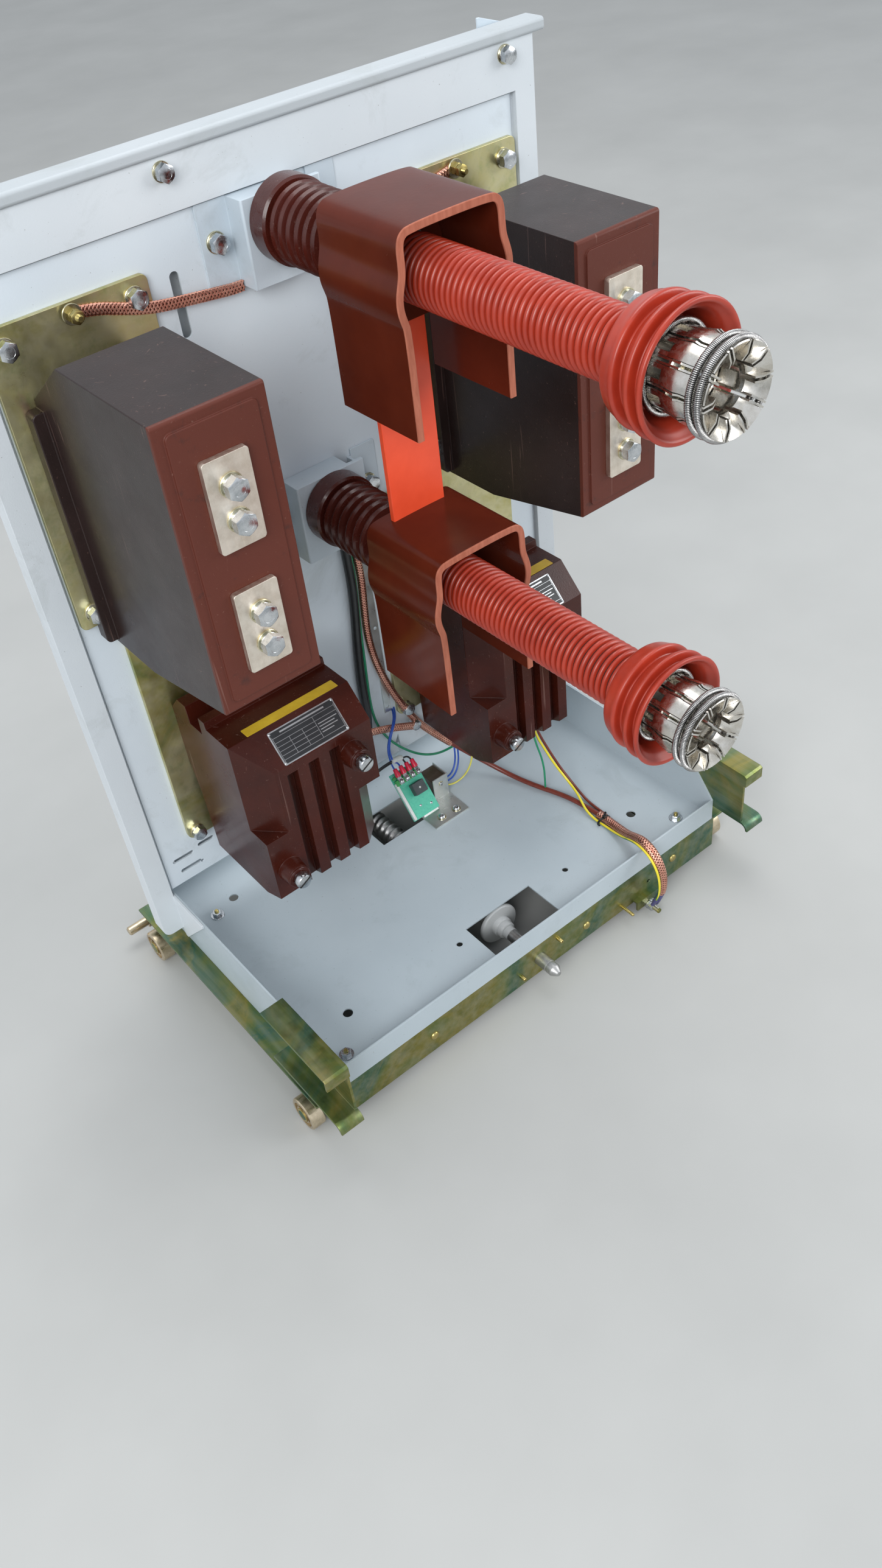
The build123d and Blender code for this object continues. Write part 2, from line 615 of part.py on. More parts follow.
# Current transformers: mounting plate, cast body, terminal pads
def ct_parts(side_name, side):
    x0 = side * CT_X
    with BuildPart() as plate:
        with BuildSketch(front_plane(BASE_Y)):
            with Locations((side * 200.0, 624.5)):
                RectangleRounded(148, 281, 6)
        extrude(amount=-(SHEET_Y - BASE_Y))
    save(side_name + "_ct_plate", plate.part)
    with BuildPart() as body:
        with BuildSketch(side_plane(x0 - CT_W / 2)):
            poly([
                (CT_Y, CT_Z0), (CT_Y, CT_Z1), (141.5, CT_Z1), (BASE_Y, 702.7), (BASE_Y, 465),
                (132, 465),
            ])
        extrude(amount=CT_W)
        fillet(body.edges().filter_by(Axis.X), 3.0)
        with BuildSketch(front_plane(BASE_Y)):
            with Locations((x0, 583)):
                RectangleRounded(CT_W + 22, 226, 5)
        extrude(amount=14.0)
        with BuildSketch(front_plane(CT_Y)):
            with Locations((x0, (CT_Z0 + CT_Z1) / 2)):
                RectangleRounded(CT_W - 18, CT_Z1 - CT_Z0 - 18, 5)
        extrude(amount=2.0)
    save(side_name + "_current_transformer", body.part)
    for pad_name, (z0, z1) in PADS.items():
        with BuildPart() as pad:
            with BuildSketch(front_plane(CT_Y - 2.0)):
                with Locations((x0, (z0 + z1) / 2)):
                    RectangleRounded(PAD_W, z1 - z0, 3)
            extrude(amount=PAD_T)
            with BuildSketch(front_plane(CT_Y - 2.0 - PAD_T)):
                with Locations((x0, (z0 + z1) / 2 - 14.5), (x0, (z0 + z1) / 2 + 14.5)):
                    Circle(5.1)
            extrude(amount=-PAD_T, mode=Mode.SUBTRACT)
        save(side_name + "_ct_" + pad_name + "_terminal", pad.part)


# Voltage transformers: mounting plate and cast body
def vt_parts(side_name, side):
    x0 = side * VT_X
    with BuildPart() as plate:
        with BuildSketch(front_plane(BASE_Y)):
            with Locations((x0, 328.5)):
                RectangleRounded(192, 283, 8)
        extrude(amount=-(SHEET_Y - BASE_Y))
    save(side_name + "_vt_plate", plate.part)
    with BuildPart() as body:
        with BuildSketch(side_plane(x0 - VT_H)):
            poly([
                (VT_Y, 183), (VT_Y, 340), (101, VT_Z1), (140, VT_Z1), (141, VT_Z1 + 8),
                (152, VT_Z1 + 8), (153, VT_Z1 - 13), (175, VT_Z1 - 13), (176, VT_Z1 + 8),
                (192, VT_Z1 + 8), (BASE_Y, VT_Z1 - 10), (BASE_Y, 290), (200, 250),
                (197, VT_Z0), (101, VT_Z0),
            ])
        extrude(amount=2 * VT_H)
        with BuildSketch(Plane.XY.offset(VT_MID)):
            poly([
                (x0 - VT_H - 1, VT_Y - 1), (x0 - VT_H + VT_STEP, VT_Y - 1),
                (x0 - VT_H + VT_STEP, VT_Y), (x0 - VT_H, 101), (x0 - VT_H - 1, 101),
            ])
        extrude(amount=150, mode=Mode.SUBTRACT)
        with BuildSketch(Plane.XY.offset(VT_MID)):
            poly([
                (x0 + VT_H + 1, VT_Y - 1), (x0 + VT_H - VT_STEP, VT_Y - 1),
                (x0 + VT_H - VT_STEP, VT_Y), (x0 + VT_H, 101), (x0 + VT_H + 1, 101),
            ])
        extrude(amount=-150, mode=Mode.SUBTRACT)
        with BuildSketch(front_plane(VT_Y)):
            for k in (-25.0, 0.0, 25.0):
                with Locations((x0 + k, 245)):
                    Rectangle(12, 170)
        extrude(amount=-12.0, mode=Mode.SUBTRACT)
        for dx, z in ((46.0, 313.0), (-56.0, 216.0)):
            with BuildSketch(front_plane(VT_Y)):
                with Locations((x0 + dx * 0.93, z)):
                    Circle(14)
            extrude(amount=16, taper=6)
    save(side_name + "_voltage_transformer", body.part)


for side_name, side in (("left", -1), ("right", 1)):
    ct_parts(side_name, side)
    vt_parts(side_name, side)


# Zinc strip running down the sheet from the lower seat
with BuildPart() as guide_strip:
    with BuildSketch(front_plane(SHEET_Y)):
        low = 199.0
        high = AXIS_LOW - SEAT_DOWN
        with Locations((36.5, (low + high) / 2)):
            Rectangle(9, high - low)
        with Locations((36.5, low + 8), (36.5, low + 120)):
            Circle(2.2, mode=Mode.SUBTRACT)
    extrude(amount=SHEET)
save("guide_strip", guide_strip.part)

# Gusset standing up behind the right end of the cap
with BuildPart() as cap_gusset:
    back = PANEL_Y + PANEL_D
    inner = STRIP_IN - 21
    low = PANEL_Z1 - 44
    high = PANEL_Z1 + 18
    with BuildSketch(side_plane(inner)):
        poly([
            (back, low), (back, PANEL_Z1), (back + 3, PANEL_Z1), (back + 3, high),
            (back + 5, high), (back + 5, low),
        ])
    extrude(amount=35.0)
    with BuildSketch(front_plane(back)):
        poly([(inner, high + 1), (inner + 36, high - 11), (inner + 36, high + 1)])
    extrude(amount=-6.0, mode=Mode.SUBTRACT)
save("cap_gusset", cap_gusset.part)

# Board bracket: screwed base, leaning tongue behind the board, upright holding the potted block
lean = Vector(cos(radians(BOARD_LEAN)), sin(radians(BOARD_LEAN)))
face_out = Vector(-lean.Y, lean.X)
foot = Vector(*BOARD_FOOT)


def leaning(along, depth):
    """Point in the side view, along the board from its foot and depth behind its face."""
    spot = foot + lean * along - face_out * depth
    return (spot.X, spot.Y)


with BuildPart() as board_bracket:
    base_z = FLOOR_Z + 2.0
    with BuildSketch(Plane.XY.offset(FLOOR_Z)):
        poly([(28, 134), (79.5, 134), (80.5, BLOCK_Y[0]), (BLOCK_X[0], BLOCK_Y[0]), (55, 165), (28, 163)])
    extrude(amount=2.0)
    with BuildSketch(side_plane(TONGUE_X[0])):
        poly([
            (155, FLOOR_Z), (155, base_z), leaning(-3.3, BOARD_T), leaning(TONGUE_LONG, BOARD_T),
            leaning(TONGUE_LONG, BOARD_T + BRACKET_T), leaning(-3.6, BOARD_T + BRACKET_T),
            (160, FLOOR_Z),
        ])
    extrude(amount=TONGUE_X[1] - TONGUE_X[0])
    with BuildSketch(Plane.XY.offset(FLOOR_Z)):
        with Locations(((BLOCK_X[0] + BLOCK_X[1]) / 2, (BLOCK_Y[0] + BLOCK_Y[1]) / 2)):
            Rectangle(BLOCK_X[1] - BLOCK_X[0], BLOCK_Y[1] - BLOCK_Y[0])
        with Locations(((BLOCK_X[0] + BLOCK_X[1] - BRACKET_T) / 2, (BLOCK_Y[0] + BLOCK_Y[1] + BRACKET_T) / 2)):
            Rectangle(BLOCK_X[1] - BLOCK_X[0] - BRACKET_T, BLOCK_Y[1] - BLOCK_Y[0] - BRACKET_T,
                      mode=Mode.SUBTRACT)
    extrude(amount=BLOCK_Z - FLOOR_Z)
save("board_bracket", board_bracket.part)

# Potted block inside the upright
with BuildPart() as potted_block:
    with BuildSketch(Plane.XY.offset(FLOOR_Z)):
        with Locations(((BLOCK_X[0] + BLOCK_X[1] - BRACKET_T) / 2, (BLOCK_Y[0] + BLOCK_Y[1] + BRACKET_T) / 2)):
            Rectangle(BLOCK_X[1] - BLOCK_X[0] - BRACKET_T, BLOCK_Y[1] - BLOCK_Y[0] - BRACKET_T)
    extrude(amount=BLOCK_Z - FLOOR_Z - 3.0)
save("potted_block", potted_block.part)

# Circuit board with its square relay and terminal row
with BuildPart() as circuit_board:
    with BuildSketch(side_plane(BOARD_X[0])):
        poly([leaning(0, 0), leaning(0, BOARD_T), leaning(BOARD_LONG, BOARD_T), leaning(BOARD_LONG, 0)])
    extrude(amount=BOARD_X[1] - BOARD_X[0])
    with BuildSketch(side_plane(BOARD_X[0] + 16)):
        poly([leaning(26, 0), leaning(26, -9), leaning(41, -9), leaning(41, 0)])
    extrude(amount=17.0)
    with BuildSketch(side_plane(BOARD_X[0] + 3)):
        poly([leaning(47, 0), leaning(47, -7), leaning(54, -7), leaning(54, 0)])
    extrude(amount=33.0)
save("circuit_board", circuit_board.part)


# Flat braided straps, as wide bands with their centre line in the front view.
# A strap that stands off its plate has a stud boss at its first point.
def strap(name, centre, front):
    pts = [Vector(x, z) for x, z in centre]
    upper, lower = [], []
    for i, p in enumerate(pts):
        ahead = pts[min(i + 1, len(pts) - 1)] - pts[max(i - 1, 0)]
        across = Vector(-ahead.Y, ahead.X).normalized() * (BRAID_W / 2)
        upper.append(tuple(p + across)[:2])
        lower.append(tuple(p - across)[:2])
    with BuildPart() as made:
        with BuildSketch(front_plane(front)):
            poly(upper + lower[::-1])
        extrude(amount=-BRAID_T)
        if front + BRAID_T < BASE_Y:
            with BuildSketch(front_plane(BASE_Y)):
                with Locations(centre[0]):
                    Circle(BRAID_W / 2)
            extrude(amount=BASE_Y - front)
    save(name, made.part)


STRAP_Y = BASE_Y - BRAID_T
seat_side = [(SEAT_X + 10, 727), (SEAT_X, 727)]
slope = [(198, 756), (178, 753.5), (152, 744), (128, 736.5), (93, 732), (60, 728)] + seat_side
strap("left_earth_braid", [(-x, z) for x, z in slope], STRAP_Y)
strap("right_earth_braid", slope, STRAP_Y)
lower_run = [(-66, 206), (-46, 205), (-22, 202), (2, 196), (27, 187), (49, 176.5), (64, 168.5)]
strap("lower_earth_braid", lower_run, 198.8)


# Round cords: straight runs joined by arcs as large as the runs allow
def cord(name, radius, points):
    pts = [Vector(*p) for p in points]
    radii = []
    for a, b, c in zip(pts, pts[1:], pts[2:]):
        half_turn = radians((b - a).get_angle(c - b)) / 2
        radii.append(0.45 * min((b - a).length, (c - b).length) / tan(half_turn))
    print(name, "radii", [round(r) for r in radii])
    with BuildPart() as made:
        with BuildLine() as route:
            FilletPolyline(*points, radius=radii)
        with BuildSketch(Plane(origin=pts[0], z_dir=pts[1] - pts[0])):
            Circle(radius)
        sweep(path=route.line)
    length = sum(edge.length for edge in route.edges())
    print(name, "length", round(length, 1), "volume ratio",
          round(made.part.volume / (length * 3.14159265 * radius * radius), 4))
    save(name, made.part)


SEAT_FOOT = AXIS_LOW - SEAT_DOWN

# Earth lead: down the sheet, over the tray floor and its lip to the earth stud
cord("earth_cable", CABLE_R, [
    (27, 210.8, SEAT_FOOT), (27, 210.8, 424), (29, 210.8, 392), (26.5, 210.8, 356),
    (24.5, 210.8, 320), (27, 210.2, 288), (33, 208.2, 258), (42, 206.4, 229), (53, 205.2, 202),
    (65, 205.2, 176), (80, 205, 151), (98, 200, 127), (117, 190, 104), (134, 174, 85),
    (147, 152, 72.5), (155, 127, 68.2), (163, 98, 68.2), (174, 67, 68.2), (179, 36, 68.2),
    (181, 8, 68.2), (179, -18, 70.5), (173, -40, 79), (167.5, -59, 92), (164, -74, 99.5),
    (162.5, -90, 96), (162.5, -101, 83), (164, -105, 66), (165, -105, 47), (165, -101, 29),
    (163.5, -95, 14),
])

# Green and yellow bonding wire beside it
cord("bonding_wire", WIRE_R, [
    (166, 106, VT_Z0), (166, 106, 156), (169, 104, 141), (173, 99, 127), (177, 93, 112),
    (181, 86, 98), (184, 77, 87), (184.5, 66, 80), (182, 54, 77.5), (177.5, 42, 76), (173.3, 29, 70.5),
    (172.3, 13, 66.8), (173, -4, 66.9), (171.5, -20, 69.5), (167, -38, 77.5), (161.5, -57, 90),
    (157.5, -73, 97), (156, -89, 94.5), (155.5, -101, 83), (156.5, -106, 67), (157.5, -106.5, 48),
    (158, -103, 30), (157.5, -96, 15),
])

# Black loom down the sheet to the left voltage transformer
cord("wire_loom", LOOM_R, [
    (14, 208.8, SEAT_FOOT), (14, 208.8, 424), (15, 208.8, 390), (12.5, 208.8, 354),
    (9, 208.8, 320), (6.5, 208.8, 286), (5, 208.8, 252), (6, 208.8, 222), (3, 207.5, 196),
    (-5, 205, 172), (-15, 202, 151), (-29, 198, 136), (-47, 192.5, 127), (-66, 187, 127),
    (-82, 182, 137), (-91, 179.3, 152), (-91, 179.3, VT_Z0),
])

# Green wire beside the loom, sagging across to the right voltage transformer
cord("loop_wire", WIRE_R, [
    (21.5, 212.3, SEAT_FOOT), (21.5, 212.3, 426), (22, 212.3, 396), (20.3, 212.3, 362),
    (17.8, 212.3, 328), (16.8, 212.3, 294), (15.4, 212.3, 262), (14.4, 212.3, 234),
    (14.6, 211.6, 210), (18, 210, 188), (26, 208, 168), (37, 206.5, 150),
    (50, 205, 134), (64, 204, 120), (80, 204.5, 108), (98, 206, 99), (117, 205, 98),
    (135, 199, 105), (148, 191, 119), (155, 186, 137), (157, 184, 154), (157, 184, VT_Z0),
])
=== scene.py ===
from math import atan2, copysign, cos, pi, radians, sin

import bmesh
import bpy
from mathutils import Matrix, Vector


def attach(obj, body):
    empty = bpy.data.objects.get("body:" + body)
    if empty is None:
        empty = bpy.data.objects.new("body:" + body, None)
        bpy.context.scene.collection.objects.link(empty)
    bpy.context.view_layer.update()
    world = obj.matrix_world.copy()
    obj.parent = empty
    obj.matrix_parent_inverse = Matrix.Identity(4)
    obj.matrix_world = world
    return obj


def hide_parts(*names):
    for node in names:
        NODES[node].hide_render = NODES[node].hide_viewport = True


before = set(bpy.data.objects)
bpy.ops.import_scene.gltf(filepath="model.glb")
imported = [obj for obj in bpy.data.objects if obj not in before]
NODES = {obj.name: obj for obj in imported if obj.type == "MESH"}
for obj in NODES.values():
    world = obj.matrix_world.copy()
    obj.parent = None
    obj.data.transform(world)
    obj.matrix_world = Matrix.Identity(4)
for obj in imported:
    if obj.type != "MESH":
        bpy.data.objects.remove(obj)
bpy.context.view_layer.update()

MM = 0.001
scene = bpy.context.scene

# Heights of the two contact arms and the places of the transformers, in millimetres.
AXES = {"lower": 500.8, "upper": 775.8}
SIDES = {"left": -1, "right": 1}
CT_X, VT_X, CT_FRONT = 201, 144, -9


def shown(name, data):
    """A new object with this data, linked to the scene."""
    made = bpy.data.objects.new(name, data)
    scene.collection.objects.link(made)
    return made


# Camera, at the photograph's viewing angle
camera_data = bpy.data.cameras.new("camera")
camera_data.lens = 29.383
camera_data.sensor_width = 36.0
camera_data.clip_end = 50.0
camera = shown("camera", camera_data)
camera.location = (-0.5705, -0.7701, 1.1468)
camera.rotation_mode = "QUATERNION"
camera.rotation_quaternion = (0.85657338, 0.38865078, -0.09174651, -0.32682593)
scene.camera = camera


# Free cords. Each is radius, length and the control points of its spline, in millimetres.
ROUTES = {
    "earth_cable": (3, 773.6, [
        (27, 210.8, 450.8), (27, 210.8, 424), (29, 210.8, 392), (26.5, 210.8, 356),
        (24.5, 210.8, 320), (27, 210.2, 288), (33, 208.2, 258), (42, 206.4, 229), (53, 205.2, 202),
        (65, 205.2, 176), (80, 205, 151), (98, 200, 127), (117, 190, 104), (134, 174, 85),
        (147, 152, 72.5), (155, 127, 68.2), (163, 98, 68.2), (174, 67, 68.2), (179, 36, 68.2),
        (181, 8, 68.2), (179, -18, 70.5), (173, -40, 79), (167.5, -59, 92), (164, -74, 99.5),
        (162.5, -90, 96), (162.5, -101, 83), (164, -105, 66), (165, -105, 47), (165, -101, 29),
        (163.5, -95, 14)]),
    "bonding_wire": (1.5, 357.8, [
        (166, 106, 170), (166, 106, 156), (169, 104, 141), (173, 99, 127), (177, 93, 112),
        (181, 86, 98), (184, 77, 87), (184.5, 66, 80), (182, 54, 77.5), (177.5, 42, 76),
        (173.3, 29, 70.5), (172.3, 13, 66.8), (173, -4, 66.9), (171.5, -20, 69.5),
        (167, -38, 77.5), (161.5, -57, 90), (157.5, -73, 97), (156, -89, 94.5), (155.5, -101, 83),
        (156.5, -106, 67), (157.5, -106.5, 48), (158, -103, 30), (157.5, -96, 15)]),
    "wire_loom": (5, 419.1, [
        (14, 208.8, 450.8), (14, 208.8, 424), (15, 208.8, 390), (12.5, 208.8, 354),
        (9, 208.8, 320), (6.5, 208.8, 286), (5, 208.8, 252), (6, 208.8, 222), (3, 207.5, 196),
        (-5, 205, 172), (-15, 202, 151), (-29, 198, 136), (-47, 192.5, 127), (-66, 187, 127),
        (-82, 182, 137), (-91, 179.3, 152), (-91, 179.3, 170)]),
    "loop_wire": (1.5, 498.4, [
        (21.5, 212.3, 450.8), (21.5, 212.3, 426), (22, 212.3, 396), (20.3, 212.3, 362),
        (17.8, 212.3, 328), (16.8, 212.3, 294), (15.4, 212.3, 262), (14.4, 212.3, 234),
        (14.6, 211.6, 210), (18, 210, 188), (26, 208, 168), (37, 206.5, 150),
        (50, 205, 134), (64, 204, 120), (80, 204.5, 108), (98, 206, 99), (117, 205, 98),
        (135, 199, 105), (148, 191, 119), (155, 186, 137), (157, 184, 154), (157, 184, 170)]),
    "brown_lead": (1.6, 192, [
        (172, 112, 170), (172, 111, 157), (174.5, 107, 141), (178.5, 101, 125), (183, 94, 108),
        (187, 85, 92), (189.5, 72, 79.5), (189.5, 57, 71), (188, 41, 66.9), (187.2, 24, 66.8),
        (187, 10, 66.9), (185.6, -3, 67.6), (182.5, -14, 69.5)]),
    "green_lead": (1.2, 99, [
        (159, 100, 170), (159, 100, 157), (160.5, 97, 140), (164, 93.5, 121), (166, 92, 102),
        (166, 91.5, 86), (165.5, 91, 72)]),
    "block_lead_a": (1.1, 95, [
        (112, 214, 137), (113, 208, 135), (115, 203, 124), (114.5, 199, 104), (110, 194, 85),
        (101, 191, 73.5), (90, 190, 72), (79, 190, 76)]),
    "block_lead_b": (1.1, 100, [
        (117, 214, 137), (118, 208, 135), (119.5, 202, 122), (118, 197, 101), (112.5, 191, 82),
        (102, 187, 71.5), (90, 185.5, 70), (79, 186, 73)]),
    "block_lead_c": (1.1, 125, [
        (119, 172, 170), (119, 171, 157), (119.5, 168.5, 137), (118, 166.5, 115), (113, 167, 94),
        (105, 171, 78.5), (94, 176, 70.5), (86, 179.5, 70), (79, 181, 73.5)]),
}
# The circuit board: where its red boots stand across it, its foot, and its lean
BOOT_XS = (23.5, 32, 40.5, 49)
BOARD_FOOT = Vector((0, 159, 70))
BOARD_LEAN = radians(49.5)
BOARD_UP = Vector((0, cos(BOARD_LEAN), sin(BOARD_LEAN)))
BOARD_OUT = Vector((0, -sin(BOARD_LEAN), cos(BOARD_LEAN)))


def on_board(x, along, out):
    """A point x across the board, along it from its foot and out from its face."""
    return Vector((x, 0, 0)) + BOARD_FOOT + BOARD_UP * along + BOARD_OUT * out


def nurbs(name, points, radius=0):
    """A curve of one NURBS spline, with these points as its control points."""
    data = bpy.data.curves.new(name, "CURVE")
    data.dimensions = "3D"
    spline = data.splines.new("NURBS")
    spline.points.add(len(points) - 1)
    for point, place in zip(spline.points, points):
        point.co = [c * MM for c in place] + [1]
        point.radius = radius * MM
    spline.order_u = 3
    spline.use_endpoint_u = True
    spline.resolution_u = 6
    data.bevel_depth = 1 if radius else 0
    data.bevel_resolution = 5
    data.use_fill_caps = radius > 0
    return bpy.data.objects.new(name, data)


def line_of(points):
    """Places in millimetres along the NURBS spline of some points."""
    bare = nurbs("measure", points)
    mesh = bpy.data.meshes.new_from_object(bare)
    line = [v.co / MM for v in mesh.vertices]
    bpy.data.meshes.remove(mesh)
    bpy.data.objects.remove(bare)
    return line


# The four leads of the board. Their length of 0 is replaced by the measured one.
for k, x in enumerate(BOOT_XS[:2]):
    ROUTES["board_lead_" + "ab"[k]] = (1.1, 0, [
        on_board(x, 67, 4.5), on_board(x - 0.4, 72, 4.8),
        (19 + 3.4 * k, 197.5 - 1.2 * k, 141 - 3 * k),
        (15.5 + 2.6 * k, 194 + 0.5 * k, 157 - 2 * k),
        (15 + 2.6 * k, 191.5 + 0.6 * k, 171), (20.5 + 2.6 * k, 192 + 0.5 * k, 184),
        (30 + 2.6 * k, 197, 192 + 0.8 * k), (39 + 2.6 * k, 206, 196 + k),
        (43 + 2.6 * k, 214, 198 + k)])
for k, x in enumerate(BOOT_XS[2:]):
    ROUTES["board_lead_" + "cd"[k]] = (1.1, 0, [
        on_board(x, 67, 4.5), on_board(x - 1.5, 73, 5.2),
        (34.5 + 1.5 * k, 198, 137.5 - 2.6 * k), (24, 196.5, 141 - 2.6 * k),
        (11, 195, 143.5 - 2.6 * k), (-6, 193.5, 143 - 2.4 * k), (-24, 190, 144 - 2 * k),
        (-44, 184, 149), (-60, 179 - 3 * k, 157), (-67, 177 - 4 * k, 163),
        (-70 - 2 * k, 176 - 4 * k, 170)])
CORDS = {}
for name, (radius, length, points) in ROUTES.items():
    made = nurbs(name + "_cord", points, radius)
    scene.collection.objects.link(made)
    if not length:
        line = line_of(points)
        length = sum((b - a).length for a, b in zip(line, line[1:]))
    CORDS[name] = made
    ROUTES[name] = (radius, length, points)
    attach(made, "truck")
    if name in NODES:
        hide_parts(name)


# Materials
def rgb(code):
    """Linear colour of a hex code."""
    parts = [int(code[i:i + 2], 16) / 255 for i in (0, 2, 4)]
    return [c / 12.92 if c <= 0.04045 else ((c + 0.055) / 1.055) ** 2.4 for c in parts] + [1]


# A colour mix node's sockets: factor, A and B, and its result
MIX_INPUTS, MIX_RESULT = (0, 6, 7), 2


class Paint:
    """One procedural material: a principled shader and the nodes that feed it."""

    def __init__(self, name, **sockets):
        self.mat = bpy.data.materials.new(name)
        self.mat.use_nodes = True
        self.tree = self.mat.node_tree
        self.shader = next(n for n in self.tree.nodes if n.type == "BSDF_PRINCIPLED")
        self.coord = self.node("TexCoord", {}).outputs["Object"]
        for key, value in sockets.items():
            self.shader.inputs[key.replace("_", " ")].default_value = value

    def plug(self, socket, value):
        """Links a socket to an output, or gives it a constant or a hex colour."""
        if isinstance(value, bpy.types.NodeSocket):
            self.tree.links.new(value, socket)
        else:
            socket.default_value = rgb(value) if isinstance(value, str) else value

    def node(self, kind, inputs, **props):
        made = self.tree.nodes.new("ShaderNode" + kind)
        for key, value in props.items():
            setattr(made, key, value)
        for key, value in inputs.items():
            self.plug(made.inputs[key], value)
        return made

    def noise(self, scale, detail=3, rough=0.55, stretch=None, distort=0):
        place = self.coord
        if stretch:
            place = self.node("Mapping", {"Vector": place, "Scale": stretch}).outputs[0]
        return self.node("TexNoise", {
            "Vector": place, "Scale": scale, "Detail": detail, "Roughness": rough,
            "Distortion": distort}).outputs["Fac"]

    def ramp(self, fac, stops):
        made = self.node("ValToRGB", {"Fac": fac})
        elements = made.color_ramp.elements
        while len(elements) < len(stops):
            elements.new(0.5)
        for element, (place, value) in zip(elements, stops):
            element.position = place
            element.color = rgb(value) if isinstance(value, str) else (value, value, value, 1)
        return made.outputs["Color"]

    def mix(self, fac, a, b):
        inputs = dict(zip(MIX_INPUTS, (fac, a, b)))
        return self.node("Mix", inputs, data_type="RGBA").outputs[MIX_RESULT]

    def patches(self, base, colour, start, end, amount, *noise, **more):
        """Lays a colour over a base where a noise passes from start to end."""
        mask = self.ramp(self.noise(*noise, **more), [(start, 0), (end, amount)])
        return self.mix(mask, base, colour)

    def math(self, operation, a, b=0, c=0):
        return self.node("Math", {0: a, 1: b, 2: c}, operation=operation).outputs[0]

    def in_front(self, y):
        """1 in front of a place, in metres, and 0 behind it."""
        place = self.node("SeparateXYZ", {"Vector": self.coord}).outputs["Y"]
        return self.math("LESS_THAN", place, y)

    def feed(self, socket, value):
        self.plug(self.shader.inputs[socket], value)

    def matt(self, fac, low, high, end=0.7):
        self.feed("Roughness", self.ramp(fac, [(0.3, low), (end, high)]))

    def bump(self, height, distance, strength=1):
        previous = self.shader.inputs["Normal"].links
        inputs = {"Height": height, "Distance": distance, "Strength": strength}
        if previous:
            inputs["Normal"] = previous[0].from_socket
        self.feed("Normal", self.node("Bump", inputs).outputs[0])


def painted(name, colour, darker, rough, smudge="8f958f"):
    """Powder coat: orange peel, faint blotches, rubbed dirt and a few specks."""
    p = Paint(name, Specular_IOR_Level=0.45)
    blotch = p.ramp(p.noise(5, 4), [(0.3, darker), (0.7, colour)])
    dirty = p.patches(blotch, smudge, 0.56, 0.8, 0.35, 14, 7, 0.7, distort=0.6)
    p.feed("Base Color", p.patches(dirty, "6f6d66", 0.73, 0.77, 0.5, 420, 2, 0.5))
    p.matt(p.noise(26, 4), rough - 0.07, rough + 0.1)
    p.bump(p.noise(650, 2), 0.00025, 0.35)
    return p.mat


def zinc(name, tones, rough, scale=9):
    """Passivated zinc: drifting interference colours, fine rolling lines and stains."""
    p = Paint(name, Metallic=0.9)
    stops = [(0.28 + 0.44 * i / (len(tones) - 1), tone) for i, tone in enumerate(tones)]
    drift = p.ramp(p.noise(scale, 5, 0.6, distort=1.2), stops)
    lines = p.noise(90, 3, 0.6, (1, 0.06, 1))
    stained = p.patches(drift, tones[0], 0.5, 0.75, 0.45, 60, 5, 0.7)
    p.feed("Base Color", p.mix(p.ramp(lines, [(0.35, 0), (0.7, 0.24)]), stained, "c9c6b4"))
    p.matt(p.noise(45, 5, 0.65), rough - 0.08, rough + 0.16, 0.72)
    p.bump(lines, 0.0003, 0.2)
    p.bump(p.noise(500, 2), 0.0001, 0.2)
    return p.mat


def resin(name, colour, darker, lighter, rough, coat):
    """Cast resin: mottled brown with a fine mould texture and pale rubs."""
    p = Paint(name, Coat_Weight=coat, Coat_Roughness=0.12, Specular_IOR_Level=0.35)
    tone = p.ramp(p.noise(16, 6, 0.6), [(0.3, darker), (0.65, colour)])
    worn = p.patches(tone, lighter, 0.62, 0.78, 0.5, 38, 8, 0.75, distort=1.5)
    p.feed("Base Color", p.patches(worn, "8d6d62", 0.66, 0.74, 0.35, 330, 3, 0.6))
    p.matt(p.noise(30, 6, 0.7), rough - 0.08, rough + 0.14)
    p.bump(p.noise(700, 3, 0.6), 0.00035, 0.4)
    p.bump(p.noise(9, 2), 0.0015, 0.25)
    return p.mat


def metal(name, colour, darker, rough, grain=(1, 1, 1), scale=260):
    """Bright metal with turning or drawing lines, small stains and dull patches."""
    p = Paint(name, Metallic=1)
    p.feed("Base Color", p.ramp(p.noise(70, 6, 0.7), [(0.3, darker), (0.6, colour)]))
    lines = p.noise(scale, 3, 0.6, grain)
    p.matt(lines, max(0.03, rough - 0.08), rough + 0.12)
    p.bump(lines, 0.0001, 0.25)
    return p.mat


def plastic(name, colour, darker, rough, coat=0, scale=80):
    """Moulded plastic or rubber with slight colour drift and a fine matt grain."""
    p = Paint(name, Coat_Weight=coat, Coat_Roughness=0.2)
    p.feed("Base Color", p.ramp(p.noise(scale, 5, 0.6), [(0.3, darker), (0.7, colour)]))
    p.matt(p.noise(scale * 0.6, 4), rough - 0.07, rough + 0.1)
    p.bump(p.noise(900, 2), 0.0001, 0.3)
    return p.mat


def wire(name, colour, darker, rough=0.36):
    """PVC insulation with a soft shine."""
    return plastic(name, colour, darker, rough, 0.25, scale=120)


